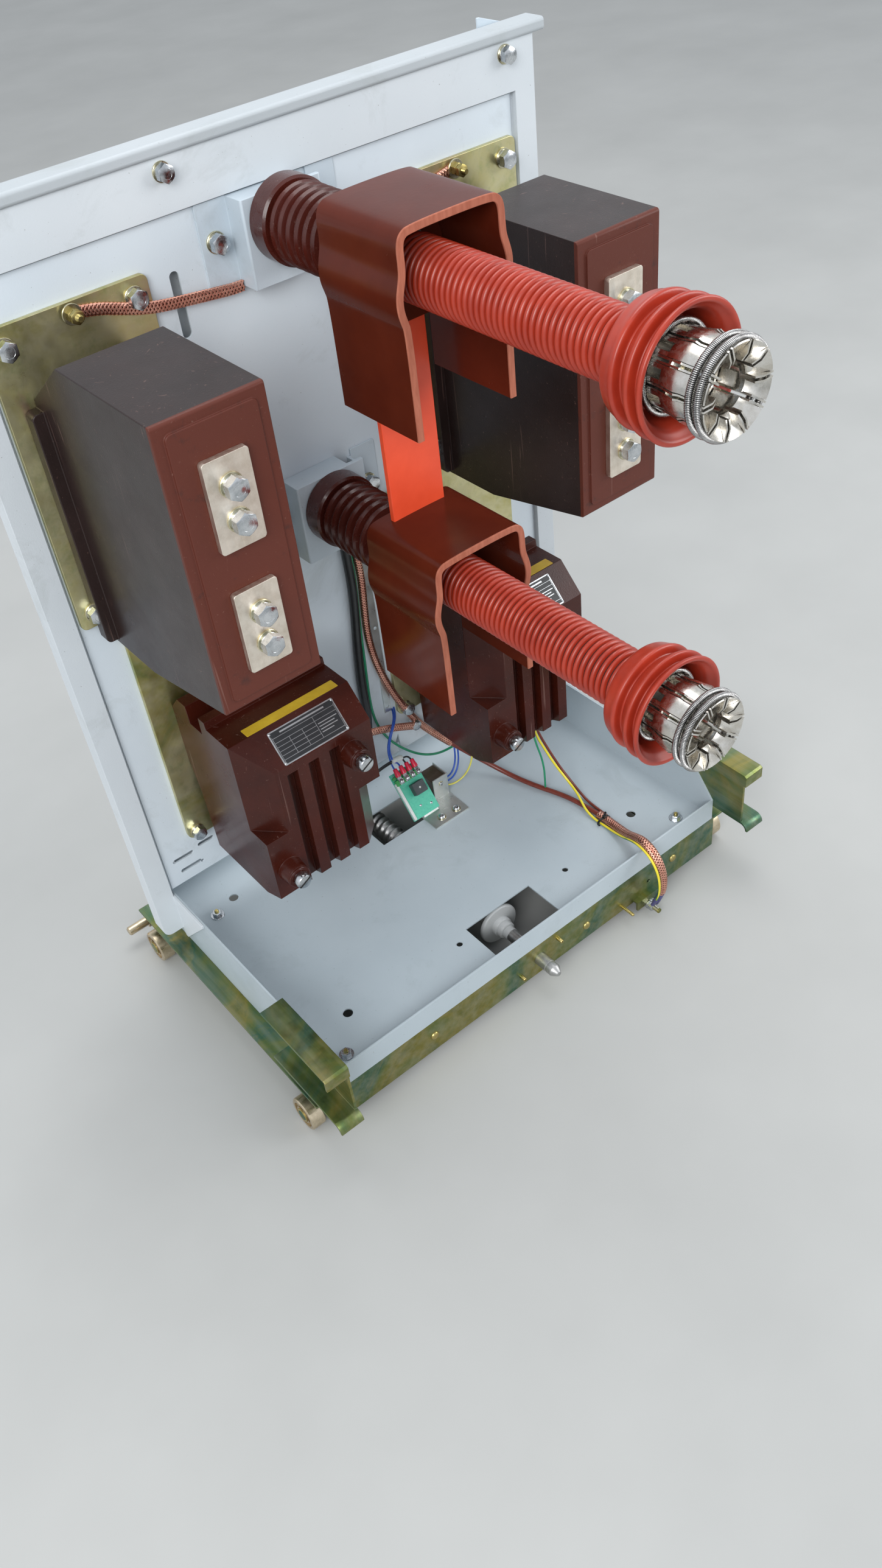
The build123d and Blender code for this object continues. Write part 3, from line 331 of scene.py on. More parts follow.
def striped_wire(name, colour, stripe):
    """Insulation in two colours, split by the way its surface faces."""
    p = Paint(name, Coat_Weight=0.25, Coat_Roughness=0.2, Roughness=0.36)
    facing_out = p.node("TexCoord", {}).outputs["Normal"]
    lean = p.node("VectorMath", {0: facing_out, 1: (-0.35, -0.5, 0.79)},
                  operation="DOT_PRODUCT").outputs["Value"]
    drift = p.math("MULTIPLY_ADD", p.noise(30, 2), 0.5, -0.25)
    mask = p.ramp(p.math("ADD", lean, drift), [(0.34, 0), (0.4, 1)])
    p.feed("Base Color", p.mix(mask, stripe, colour))
    p.bump(p.noise(900, 2), 0.0001, 0.3)
    return p.mat


HOOD_EDGE = -0.0346    # metres; in front of this the hood's wall is sawn


def hood_paint():
    """Glossy red-brown moulding whose sawn front edge shows pale pink resin."""
    p = Paint("hood_resin", Coat_Weight=0.05, Coat_Roughness=0.12, Specular_IOR_Level=0.16)
    tone = p.ramp(p.noise(14, 5, 0.6), [(0.3, "4b1a0e"), (0.7, "592213")])
    body = p.patches(tone, "6d3424", 0.64, 0.8, 0.4, 46, 8, 0.75, distort=1.5)
    sawn = p.ramp(p.noise(300, 4, 0.6, (1, 1, 0.2)), [(0.3, "9c5a46"), (0.7, "b06c56")])
    front = p.in_front(HOOD_EDGE)
    p.feed("Base Color", p.mix(front, body, sawn))
    p.feed("Roughness", p.math("ADD", p.math("MULTIPLY", front, 0.35), p.math(
        "MULTIPLY_ADD", p.noise(24, 5, 0.6), 0.2, 0.14)))
    p.bump(p.noise(240, 2), 0.0002, 0.3)
    p.bump(p.noise(11, 2), 0.0015, 0.2)
    return p.mat


def transformer_paint(name, colour, darker, lit_front_colour, split, rough):
    """Cast block: glossy, its darker tone painted shade on the top and sides; matt and redder in
    front of the split, the lit face.
    """
    p = Paint(name, Coat_Weight=0.08, Coat_Roughness=0.14, Specular_IOR_Level=0.26)
    tone = p.ramp(p.noise(16, 6, 0.6), [(0.3, darker), (0.68, colour)])
    # The redder front tone is painted light on the lit face; the body tone behind it is painted
    # shade.
    lit_front_tone = p.ramp(p.noise(60, 7, 0.7), [(0.16, colour), (0.42, lit_front_colour)])
    front = p.in_front(split)
    lit_and_shaded = p.mix(front, tone, lit_front_tone)
    worn = p.patches(lit_and_shaded, "8a6156", 0.63, 0.75, 0.5, 34, 9, 0.8, distort=2.2)
    scratched = p.patches(worn, "a07f75", 0.7, 0.74, 0.22, 60, 2, 0.4, (1, 1, 0.05), 3)
    p.feed("Base Color", p.patches(scratched, "8d6d62", 0.67, 0.74, 0.35, 360, 3, 0.6))
    gloss = p.math("MULTIPLY_ADD", p.noise(28, 6, 0.7), 0.22, rough - 0.1)
    p.feed("Roughness", p.math("ADD", gloss, p.math("MULTIPLY", front, 0.22)))
    p.bump(p.noise(700, 3, 0.6), 0.0003, 0.35)
    p.bump(p.noise(8, 2), 0.002, 0.25)
    return p.mat


WHITE = painted("white_powder_coat", "d3d9dd", "cad1d6", 0.46)
# The cap has the panel's white coat, written darker as painted shade against the top lamp on its
# upward face.
CAP_WHITE_SHADED = painted("cap_powder_coat_painted_shade", "b4babe", "acb3b7", 0.55)
SHEET_WHITE = painted("sheet_powder_coat", "d9e2e8", "ced8e0", 0.4)
SEAT_PAINT = painted("seat_powder_coat", "c9d4dc", "bdc9d2", 0.4)
TRAY = painted("tray_powder_coat", "b6c1c7", "aab6bd", 0.4, smudge="868f92")
GREEN_ZINC = zinc("iridescent_zinc", ["5b683a", "8d8543", "6c7a44", "446c58", "9f9150"], 0.36)
BRIGHT_ZINC = zinc("clear_zinc", ["7d9350", "b3ab66", "d3cc9e", "c6bd86", "c19c86"], 0.34, scale=6)
BRACKET_ZINC = zinc("bracket_zinc", ["c0c6c4", "d6dad9", "e4e6e3"], 0.3, scale=30)
ROLLER = metal("turned_roller", "dccdb2", "b3a284", 0.32, (0.2, 1, 1))
ROLLED_STEEL = metal("rolled_steel", "c0c0bf", "8f8f8e", 0.42, (1, 0.1, 1))
COLLAR_GREY = painted("collar_grey", "b9bcbc", "a7aaab", 0.36)
BOLT = metal("bolt_zinc", "d6d9dc", "a9aeb2", 0.22)
WASHER = metal("washer_zinc", "d2ccb0", "b2aa86", 0.28)
BRASSY = metal("yellow_passivate", "c9b87a", "98894f", 0.3)
TINNED = metal("tinned_pad", "ece3d6", "d4c8b8", 0.45, (1, 1, 0.15))
SILVER = metal("silver_plate", "dedbd5", "bdb7ab", 0.24)
STEM = metal("contact_stem_silver", "8f8c86", "6b6862", 0.5, (1, 0.1, 1))
SPRING = metal("spring_wire", "c4c3c2", "8a8886", 0.22, scale=600)
SPRING_SHADE = metal("spring_shadow", "3c3b3a", "2a2928", 0.5)
# Each transformer's darker body colour is painted shade, and its front colour is the lit face.
CT_RESIN = transformer_paint("cast_resin_brown", "2f2220", "241a18", "5a2b20", 0.003, 0.3)
VT_RESIN = transformer_paint("cast_resin_gloss", "45190f", "33120b", "522015", 0, 0.24)
INSULATOR = resin("insulator_resin", "4c1c14", "38140e", "6b3a2f", 0.26, 0.3)
HOOD = hood_paint()
LINK = plastic("link_bar_red", "ec5330", "e04927", 0.42, 0.1, scale=26)
SLEEVE = plastic("sleeve_red", "ad3620", "982a18", 0.36, 0.16, scale=40)
# Dark red for painted shade in the sleeves' grooves
GROOVE_SHADE = plastic("sleeve_groove_shade", "380b06", "2a0804", 0.7)
SHADOW = plastic("slot_shadow", "1d1b1a", "141312", 0.7)
PLATE_SILVER = metal("rating_plate_metal", "c9ccce", "b2b5b7", 0.32, (1, 0.1, 1))
PLATE_BLACK = plastic("rating_plate_ink", "2a2c2f", "1f2124", 0.35)
LABEL = plastic("ridge_strip_yellow", "d8b62c", "c6a021", 0.42, 0.2)
BOARD = plastic("board_turquoise", "54c6a8", "45b698", 0.3, 0.4, scale=300)
BOARD_GREEN = plastic("terminal_green", "37a450", "2b8c42", 0.35, 0.2)
RELAY = plastic("relay_dark", "4a5355", "3b4345", 0.42)
PALE_PLASTIC = plastic("pale_plastic", "dfe3e0", "cdd2cf", 0.4, 0.1)
BOOT = plastic("terminal_boot_red", "e42a4c", "cf2040", 0.35, 0.3)
POTTING = resin("potting_resin", "4a3a28", "382a1c", "6b5840", 0.3, 0.4)
BRAID = metal("braided_copper", "f2b8a2", "cf8672", 0.3, scale=1400)
BRAID_SHADE = metal("braid_shadow", "5c2417", "40170e", 0.6)
BLACK_PLASTIC = plastic("black_nylon", "1e1f20", "141516", 0.4, 0.1)
LUG_SLEEVE = plastic("lug_sleeve", "4b4a7c", "3b3b68", 0.4, 0.2)
BROWN_WIRE = wire("brown_sleeving", "7c3527", "66291e", 0.4)
GREEN_WIRE = wire("green_insulation", "1f9468", "178057")
BLUE_WIRE = wire("blue_insulation", "2f5fc4", "244fae")
YELLOW_WIRE = wire("yellow_insulation", "e2dc6a", "d0c852")
BLACK_WIRE = wire("black_insulation", "232628", "17191b", 0.42)
EARTH_WIRE = striped_wire("green_yellow_insulation", "e8d534", "3a7a2e")

CORD_PAINT = {
    "earth_cable": BROWN_WIRE, "bonding_wire": EARTH_WIRE, "wire_loom": BLACK_WIRE,
    "loop_wire": GREEN_WIRE, "brown_lead": BROWN_WIRE, "green_lead": GREEN_WIRE,
    "block_lead_c": YELLOW_WIRE, "board_lead_c": BLACK_WIRE, "board_lead_d": BLACK_WIRE,
}
for name, made in CORDS.items():
    made.data.materials.append(CORD_PAINT.get(name, BLUE_WIRE))


def finish_node(name, mat, bevel=0, segments=2):
    """Gives a CAD node its material and, on folded sheet, softened edges."""
    made = NODES[name]
    made.data.materials.clear()
    made.data.materials.append(mat)
    if bevel:
        made.modifiers.new("weld", "WELD").merge_threshold = 0.00001
        flat = made.modifiers.new("flat", "DECIMATE")
        flat.decimate_type = "DISSOLVE"
        flat.angle_limit = radians(0.3)
        soft = made.modifiers.new("soft", "BEVEL")
        soft.width = bevel * MM
        soft.segments = segments
        soft.limit_method = "ANGLE"
        soft.angle_limit = radians(35)
        soft.harden_normals = True


# Each node's material, then its bevel and the bevel's steps if it has one
for side in SIDES:
    for part, *look in (
            ("rail", GREEN_ZINC, 0.6), ("shutter_bracket", GREEN_ZINC, 0.6),
            ("locking_pin", ROLLER), ("ct_plate", BRIGHT_ZINC, 0.6),
            ("vt_plate", BRIGHT_ZINC, 0.6), ("current_transformer", CT_RESIN, 1.6, 3),
            ("voltage_transformer", VT_RESIN, 2.2, 3), ("ct_upper_terminal", TINNED, 0.7),
            ("ct_lower_terminal", TINNED, 0.7), ("front_wheel", ROLLER), ("rear_wheel", ROLLER)):
        finish_node(side + "_" + part, *look)
for name in AXES:
    finish_node(name + "_seat", SEAT_PAINT, 0.8)
    finish_node(name + "_insulator", INSULATOR)
    finish_node(name + "_contact_stem", STEM)
for part, *look in (
        ("front_crossbar", GREEN_ZINC, 0.6), ("rear_crossbar", GREEN_ZINC, 0.6),
        ("base_tray", TRAY, 0.9), ("panel_frame", WHITE, 1), ("panel_cap", CAP_WHITE_SHADED, 0.5),
        ("mounting_panel", SHEET_WHITE, 0.4), ("link_bar", LINK, 1.2, 3),
        ("guide_strip", BRACKET_ZINC, 0.3), ("cap_gusset", SEAT_PAINT, 0.5),
        ("board_bracket", BRACKET_ZINC, 0.3), ("potted_block", POTTING, 0.6)):
    finish_node(part, *look)


# Mesh pieces. Everything is measured in millimetres until the mesh is made.
TURN = 2 * pi
FRONT, BACK, UP = (0, -1, 0), (0, 1, 0), (0, 0, 1)
PLATE_FACE = 209     # front of the transformer plates and of the panel frame
SEAT_FACE = 212      # front of the feet of the insulator seats
PANEL_BACK = 229
TRAY_FLOOR = 65
BEAM_FACE = -77      # front of the front crossbar
SCREW_HEIGHT = 36    # axis of the lead screw


def aim(place, direction=FRONT):
    """A frame at a place whose third axis points in a direction."""
    turn = Vector(direction).to_track_quat("Z", "Y").to_matrix().to_4x4()
    return Matrix.Translation(Vector(place)) @ turn


def facing(x, y, z):
    """A frame with axes across, up and out towards the contact side."""
    return Matrix(((1, 0, 0, x), (0, 0, -1, y), (0, 1, 0, z), (0, 0, 0, 1)))


def shifted(at, x, y, z=0):
    """A frame moved along its own axes."""
    return at @ Matrix.Translation((x, y, z))


def circle(count):
    """The cosine and sine of even steps round a circle."""
    return [(cos(TURN * i / count), sin(TURN * i / count)) for i in range(count)]


def chord(line, k):
    """From the place before place k of a line to the place after it."""
    return line[min(k + 1, len(line) - 1)] - line[max(k - 1, 0)]


def even(line, step):
    """The same line with places a fixed step apart."""
    spaced, left = [line[0]], step
    for a, b in zip(line, line[1:]):
        run = (b - a).length
        while left <= run:
            spaced.append(a.lerp(b, left / run))
            left += step
        left -= run
    return spaced


def rounded(points, rounds=2):
    """Cuts the corners of an open profile, keeping its ends."""
    for _ in range(rounds):
        cut = [points[0]]
        for (ax, ay), (bx, by) in zip(points, points[1:]):
            cut += [(0.75 * ax + 0.25 * bx, 0.75 * ay + 0.25 * by),
                    (0.25 * ax + 0.75 * bx, 0.25 * ay + 0.75 * by)]
        points = cut + [points[-1]]
    return points


def box_outline(width, height, corner=0):
    """A rectangle about its middle, with cut corners."""
    x, y, c = width / 2, height / 2, corner
    if not c:
        return [(-x, -y), (x, -y), (x, y), (-x, y)]
    return [(-x + c, -y), (x - c, -y), (x, -y + c), (x, y - c), (x - c, y), (-x + c, y),
            (-x, y - c), (-x, -y + c)]


class Build:
    """Vertices in millimetres, and faces with a material number each, for one piece."""

    HEAD_SIDES, TUBE_SIDES, BRAID_STEP = 48, 20, 0.7
    # A braid's ribbons: half width as a share of spacing, rise at a crossing, half depth
    RIBBON_SHARE, RIBBON_LIFT, RIBBON_THICK = 0.145, 0.22, 0.3

    def __init__(self):
        self.verts, self.faces, self.tags = [], [], []

    def rings(self, rows, tag=0, closed=False, caps=False):
        """Skins rows of points, each row a closed loop of the same count."""
        count, start = len(rows[0]), len(self.verts)
        last = len(rows) - 1
        pairs = [(k, k + 1) for k in range(last)] + ([(last, 0)] if closed else [])
        faces = [[a * count + i, a * count + (i + 1) % count,
                  b * count + (i + 1) % count, b * count + i]
                 for a, b in pairs for i in range(count)]
        if caps:
            faces += [list(range(count))[::-1], [last * count + i for i in range(count)]]
        self.verts += [tuple(v) for row in rows for v in row]
        self.faces += [[start + i for i in face] for face in faces]
        self.tags += [tag] * len(faces)

    def lathe(self, at, profile, sides=40, tag=0, closed=False):
        """Turns a profile of (along, radius) about a frame's third axis."""
        rows = [[at @ Vector((radius * c, radius * s, along)) for c, s in circle(sides)]
                for along, radius in profile]
        self.rings(rows, tag, closed)

    def slab(self, at, outline, low, high, tag=0, edge=0):
        """A prism on an outline in a frame, its top edge drawn in by a small chamfer."""
        middle = sum((Vector(p) for p in outline), Vector((0, 0))) / len(outline)
        drawn = [Vector(p) + (middle - Vector(p)).normalized() * edge for p in outline]
        levels = ((outline, low), (outline, high - edge), (drawn, high))
        self.rings([[at @ Vector((p[0], p[1], z)) for p in loop] for loop, z in levels],
                   tag, caps=True)

    def block(self, at, place, size, low, high, tag=0, edge=0):
        """A slab at a place in a frame, its size given as width, height and cut corner."""
        self.slab(shifted(at, *place), box_outline(*size), low, high, tag, edge)

    def hexagon(self, at, flats, height):
        """A hexagon with the round chamfer of a bolt head or nut."""
        apothem = flats / 2
        rim = apothem * 0.94
        rows = [[], [], []]
        for i in range(self.HEAD_SIDES):
            turn = TURN * i / self.HEAD_SIDES
            reach = apothem / cos((turn + pi / 6) % (pi / 3) - pi / 6)
            aside = Vector((cos(turn), sin(turn), 0))
            shoulder = height - 0.577 * (reach - rim)
            for row, out, z in zip(rows, (reach, reach, rim), (0, shoulder, height)):
                row.append(at @ (aside * out + Vector((0, 0, z))))
        self.rings(rows, caps=True)

    def washer(self, at, low, high, outer, inner, tag=1):
        soft = 0.25 * (high - low)
        self.lathe(at, [(low, inner), (low, outer), (high - soft, outer), (high, outer - soft),
                        (high, inner)], tag=tag, closed=True)

    def stud(self, at, length, radius, pitch=1):
        """A threaded rod end with a chamfer."""
        profile = [(0, 0), (0, radius * 0.88)]
        for k in range(int((length - 1) / pitch)):
            profile += [((k + 0.5) * pitch, radius), ((k + 1) * pitch, radius * 0.88)]
        self.lathe(at, profile + [(length - 0.8, radius * 0.9), (length, radius * 0.7),
                                  (length, 0)], 24)

    def bolt(self, place, size):
        """Flat washer, spring washer and a hexagon head with a dimple, to the front."""
        at = aim(place)
        flat, spring, head_high = 0.17 * size, 0.24 * size, 0.78 * size
        self.washer(at, 0, flat, 1.02 * size, 0.5 * size)
        self.washer(at, flat, flat + spring, 0.86 * size, 0.5 * size, tag=0)
        head = shifted(at, 0, 0, flat + spring)
        self.hexagon(head, 1.7 * size, head_high)
        self.lathe(head, [(head_high, 0.56 * size), (0.79 * size, 0.52 * size),
                          (0.76 * size, 0.48 * size)], 32)

    def screw(self, place, direction, radius, height):
        """A pan head screw with a round recess, on a washer."""
        at, thick = aim(place, direction), 0.5
        self.washer(at, 0, thick, radius * 1.35, radius * 0.5)
        head = ((0, 0.5), (0, 1), (0.5, 1), (0.85, 0.8), (1, 0.45), (1, 0.3), (0.6, 0.22), (0.6, 0))
        self.lathe(at, [(thick + up * height, radius * out) for up, out in head], 32)

    def tube(self, line, radius, tag=0):
        """A capped tube along a line of points, without twist."""
        rows, carried = [], None
        for k, place in enumerate(line):
            ahead = chord(line, k).normalized()
            if carried is None:
                carried = ahead.orthogonal().normalized()
            carried = (carried - ahead * carried.dot(ahead)).normalized()
            other = ahead.cross(carried)
            rows.append([place + carried * (radius * c) + other * (radius * s)
                         for c, s in circle(self.TUBE_SIDES)])
        self.rings(rows, tag, caps=True)

    def braid(self, line, width, thick, across=None, strands=5, pitch=17):
        """A flat braid: two families of crossing ribbons round a dark tube of painted shade."""
        line, frames = even(line, self.BRAID_STEP), []
        for k, place in enumerate(line):
            ahead = chord(line, k).normalized()
            side = Vector(across) if across else ahead.cross(Vector(FRONT))
            side = (side - ahead * side.dot(ahead)).normalized()
            frames.append((place, side, ahead.cross(side)))
        # The dark tube inside the ribbons is painted shade in the gaps of the weave.
        shade_side, shade_out = width / 2 - 0.5, thick / 2 - 0.35
        self.rings([[place + side * (shade_side * c) + out * (shade_out * s)
                     for c, s in circle(16)] for place, side, out in frames[::3] + [frames[-1]]],
                   1, caps=True)
        half = pi * width / strands * self.RIBBON_SHARE
        for family in (1, -1):
            for strand in range(strands):
                centres, outs = [], []
                for k, (place, side, out) in enumerate(frames):
                    turn = TURN * (family * k * self.BRAID_STEP / pitch + strand / strands)
                    over = family * self.RIBBON_LIFT * cos(
                        TURN * strands * k * self.BRAID_STEP / pitch)
                    c, s = cos(turn), sin(turn)
                    outs.append((side * (c * thick) + out * (s * width)).normalized())
                    centres.append(place + side * (width / 2 * c) + out * (thick / 2 * s)
                                   + outs[-1] * over)
                rows = []
                for k, (centre, up) in enumerate(zip(centres, outs)):
                    aside = chord(centres, k).normalized().cross(up).normalized() * half
                    lift = up * self.RIBBON_THICK
                    rows.append([centre - aside, centre + lift, centre + aside, centre - lift])
                self.rings(rows, caps=True)

    def finish(self, name, mats=(BOLT, WASHER), body="truck", node=None,
               smooth=40):
        """Makes the object, welds it, parents it to its body and hides the node it stands in for.
        """
        mesh = bpy.data.meshes.new(name)
        mesh.from_pydata([[c * MM for c in v] for v in self.verts], [], self.faces)
        for mat in mats:
            mesh.materials.append(mat)
        mesh.polygons.foreach_set("material_index", self.tags)
        work = bmesh.new()
        work.from_mesh(mesh)
        bmesh.ops.remove_doubles(work, verts=work.verts, dist=1e-6)
        bmesh.ops.recalc_face_normals(work, faces=work.faces)
        for face in work.faces:
            face.smooth = True
        work.to_mesh(mesh)
        work.free()
        mesh.set_sharp_from_angle(angle=radians(smooth))
        made = shown(name, mesh)
        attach(made, body)
        if node:
            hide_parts(node)
        return made


# Insulating sleeves: moulded rings and the stepped bell, in (along, radius)
RING_PITCH, RINGS, BORE = 6.3, 36, 17
RING = [(0, 21.6), (0.16, 21.6), (0.24, 24.2), (0.36, 25.4), (0.55, 25.9), (0.75, 25.4),
        (0.89, 24), (0.97, 21.6)]
FLARE = [(-217.4, 23.5), (-219.5, 24.5), (-221, 27), (-221.6, 33), (-222.6, 39.6), (-225, 41.6),
         (-231, 43.2), (-236, 45.4), (-238.2, 45.2), (-239.2, 43.4), (-239.4, 38.6)]
COLLAR = [(-239.4, 38.6), (-240.2, 37.6), (-242, 38.6), (-244.5, 42), (-247.5, 44.2),
          (-250.8, 46.8), (-252.8, 46.6), (-253.6, 44.8), (-253.8, 39.6)]
RIM = [(-253.8, 39.6), (-254.6, 38.8), (-256.2, 40.4), (-258, 43.4), (-260.4, 46),
       (-262.6, 47.3), (-264.2, 46.6), (-264.5, 44.6), (-263.8, 43.2), (-261.6, 41.6),
       (-258, 38.2), (-252, 36.4), (-241, 35), (-231.5, 34), (-230, 32), (-230, 18),
       (-230, BORE)]
sleeve_line = [(20, BORE), (20, 23.6), (19, 24.6), (14, 24.8)]
sleeve_line += [(12 - (k + place) * RING_PITCH, radius)
                for k in range(RINGS) for place, radius in RING]
sleeve_line += rounded(FLARE) + rounded(COLLAR)[1:] + rounded(RIM)[1:] + [(20, BORE)]
for name, axis_z in AXES.items():
    sleeve = Build()
    at = aim((0, 0, axis_z), BACK)
    sleeve.lathe(at, sleeve_line, 72)
    # A dark cylinder inside the rings shows only between them: painted shade in the groove bottoms.
    sleeve.lathe(at, [(14, 20), (14, 22.8), (-217, 22.8), (-217, 20), (14, 20)], 48, tag=1)
    sleeve.finish(name + "_ringed_sleeve", [SLEEVE, GROOVE_SHADE],
                  node=name + "_sleeve", smooth=60)

# Hoods: moulded covers of even wall, with softly waved sides and a sawn front edge
HOOD_WALL = 6
HALF_HOOD = [(50.5, -108), (50.5, -21), (53, -13), (55, -5), (55, 4), (53, 12), (50.5, 20),
             (50, 27), (50, 41), (46.5, 49), (37.5, 53)]
WEB_FOOT = -52       # the cross wall's lower edge, below the arm's axis
hood_line = [Vector(p) for p in
             rounded(HALF_HOOD + [(-x, z) for x, z in reversed(HALF_HOOD)], 3)]
hood_inner = []
for k, place in enumerate(hood_line):
    ahead = chord(hood_line, k)
    hood_inner.append(place + Vector((-ahead.y, ahead.x)).normalized() * HOOD_WALL)
for name, axis_z in AXES.items():
    hood = Build()
    rows = []
    for outer, inner in zip(hood_line, hood_inner):
        near_outer, near_inner = outer.lerp(inner, 0.07), outer.lerp(inner, 0.93)
        loop = ((outer, -35.6), (near_outer, -36), (near_inner, -36), (inner, -35.6),
                (inner, 61.6), (near_inner, 62), (near_outer, 62), (outer, 61.6))
        rows.append([Vector((p.x, y, axis_z + p.y)) for p, y in loop])
    hood.rings(rows, caps=True)
    web = [(p.x * 0.999, p.y) for p in hood_inner if p.y > WEB_FOOT]
    web += [(-44.4, WEB_FOOT), (44.4, WEB_FOOT)]
    hood.slab(facing(0, 46, axis_z), web, 0, 6, edge=0.2)
    hood.finish(name + "_waved_hood", [HOOD], node=name + "_hood", smooth=34)

# Tulip contacts: petals on a cage with windows, paired blades between them, three coil
# springs and a centre screw. Outlines are in (y, radius).
PETALS = 10
PETAL_HALF, WINDOW_HALF = radians(12.6), radians(6.5)
PETAL = [(-262, 25.4), (-262, 27.6), (-275, 29.6), (-279, 28.6), (-300.2, 28.6), (-300.7, 30.8),
         (-301.4, 31.3), (-302, 30.6), (-298.6, 25), (-294.4, 19.2), (-291.6, 17.7),
         (-288.6, 17.9), (-285.5, 20), (-281.5, 24.6), (-276, 26.8)]
BLADE = [(-240, 18), (-240, 27.2), (-262, 27.6), (-276, 30.2), (-279, 28.9), (-300.1, 28.9),
         (-300.6, 31.2), (-302, 31.2), (-302, 23), (-299.4, 17.8), (-287, 17.7), (-283, 22),
         (-266, 23.4), (-258, 21), (-254, 16.6), (-243, 16.6)]
STRIP = [(-247, 25.2), (-247, 27.4), (-262.2, 27.6), (-262.2, 25.4)]
CAGE = [(-247.2, 16.2), (-247.2, 27.4), (-245.6, 28.2), (-243.4, 28.2), (-240.6, 27.6),
        (-239.4, 26.6), (-239, 24), (-239, 17), (-247.2, 16.2)]
HUB = [(-262, 9), (-262, 23.6), (-263, 24.4), (-265, 24.4), (-266, 23.6), (-266, 9), (-262, 9)]
# Each spring: y, ring radius, coil radius, wire radius, coils
SPRINGS = ((-297, 31.2, 2.3, 0.5, 178), (-289.8, 31.2, 2.3, 0.5, 178),
           (-250.5, 29.6, 1.9, 0.45, 172))
COIL_STEPS, SHADE_RING_RADIUS = 8, 1.7


def spoke(turn):
    """The way out from an arm's axis at a turn about it."""
    return Vector((cos(turn), 0, sin(turn)))


def fan(build, axis_z, outline, low, high, steps):
    """Sweeps a (y, radius) outline through an angle about an arm."""
    build.rings([[Vector((0, y, axis_z)) + spoke(low + (high - low) * k / steps) * radius
                  for y, radius in outline] for k in range(steps + 1)], caps=True)


for name, axis_z in AXES.items():
    tulip = Build()
    for k in range(PETALS):
        middle = TURN * (k + 0.5) / PETALS
        fan(tulip, axis_z, PETAL, middle - PETAL_HALF, middle + PETAL_HALF, 6)
        fan(tulip, axis_z, STRIP, middle - PETAL_HALF, middle - WINDOW_HALF, 2)
        fan(tulip, axis_z, STRIP, middle + WINDOW_HALF, middle + PETAL_HALF, 2)
        out = spoke(middle + pi / PETALS)
        across = out.cross(Vector(BACK))
        for aside in (-1.6, 1.6):
            rows = [[Vector((0, y, axis_z)) + out * radius + across * (aside + thick)
                     for y, radius in BLADE] for thick in (-0.65, 0.65)]
            tulip.rings(rows, caps=True)
    at = aim((0, 0, axis_z), BACK)
    tulip.lathe(at, CAGE, 64)
    tulip.lathe(at, HUB, 64)
    tulip.finish(name + "_petal_contact", [SILVER],
                 node=name + "_tulip", smooth=30)
    springs = Build()
    for y, ring_r, coil_r, wire_r, coils in SPRINGS:
        rows = []
        for k in range(coils * COIL_STEPS):
            turn = TURN * k / (coils * COIL_STEPS)
            out, tangent = spoke(turn), spoke(turn + pi / 2)
            lift = out * cos(coils * turn) + Vector((0, sin(coils * turn), 0))
            centre = Vector((0, y, axis_z)) + out * ring_r + lift * coil_r
            rows.append([centre + lift * (wire_r * c) + tangent * (wire_r * s)
                         for c, s in circle(5)])
        springs.rings(rows, closed=True)
        # A dark ring inside the coil is painted shade showing between the turns.
        springs.lathe(at, [(y + SHADE_RING_RADIUS * s, ring_r + SHADE_RING_RADIUS * c)
                           for c, s in circle(12)], 72, tag=1, closed=True)
    springs.finish(name + "_garter_springs", [SPRING, SPRING_SHADE], smooth=80)
    screw = Build()
    at = aim((0, -266, axis_z))
    screw.washer(at, 0, 1.6, 14, 6)
    screw.hexagon(shifted(at, 0, 0, 1.6), 17, 8.4)
    screw.stud(at, 12.5, 5, 1.5)
    screw.finish(name + "_tulip_screw")

# Lead screw with its rolled thread, collar and square end
THREAD_PITCH, THREAD_ROOT, THREAD_CREST = 9, 9.9, 13
THREAD_STEPS, THREAD_STEP, THREAD_END, THREAD_SIDES = 213, 1.25, 260.5, 40
screw = Build()
at = aim((0, 0, SCREW_HEIGHT), BACK)
screw.lathe(at, [(-108, 0), (-108, 2.6), (-107.4, 3.2), (-101.6, 7), (-100.4, 7.5), (-94, 7.5),
                 (-93.6, 7), (-92.4, 7), (-92, 7.5), (-30, 7.5), (-30, 7)], 56)
screw.lathe(at, [(-31, 6.8), (-31, 7.8), (-24, 8), (-23.6, 9.6), (-22.8, 10.4), (-17, 10.4),
                 (-16.6, 11.6), (-15.8, 12.2), (-10.4, 12.2), (-10, 13), (-10, 23.6),
                 (-9.2, 24.8), (-8.4, 25.2), (-5.4, 25.2), (-4.4, 24.6), (-4, 23), (-4, 11),
                 (-3, 10.6)], 56, tag=1)
rows = []
for k in range(THREAD_STEPS):
    y = -4 + THREAD_STEP * k
    fade = max(0, min(1, (THREAD_END - y) / 6))
    row = []
    for i, (c, s) in enumerate(circle(THREAD_SIDES)):
        phase = (y / THREAD_PITCH - i / THREAD_SIDES) % 1
        lift = min(1, max(0, 0.5 + 0.62 * sin(TURN * phase)))
        lift = lift * lift * (3 - 2 * lift)
        radius = THREAD_ROOT + (THREAD_CREST - THREAD_ROOT) * lift * fade
        row.append(at @ Vector((radius * c, radius * s, y)))
    rows.append(row)
screw.rings(rows, caps=True)
screw.lathe(at, [(260, 9.9), (262, 9.9), (263, 9), (295, 9), (296, 8.2), (296, 0)])
screw.slab(at, box_outline(12, 12, 1.2), 290, 302, edge=0.8)
screw.finish("threaded_lead_screw", [ROLLED_STEEL, COLLAR_GREY], "screw_body",
             node="lead_screw", smooth=50)

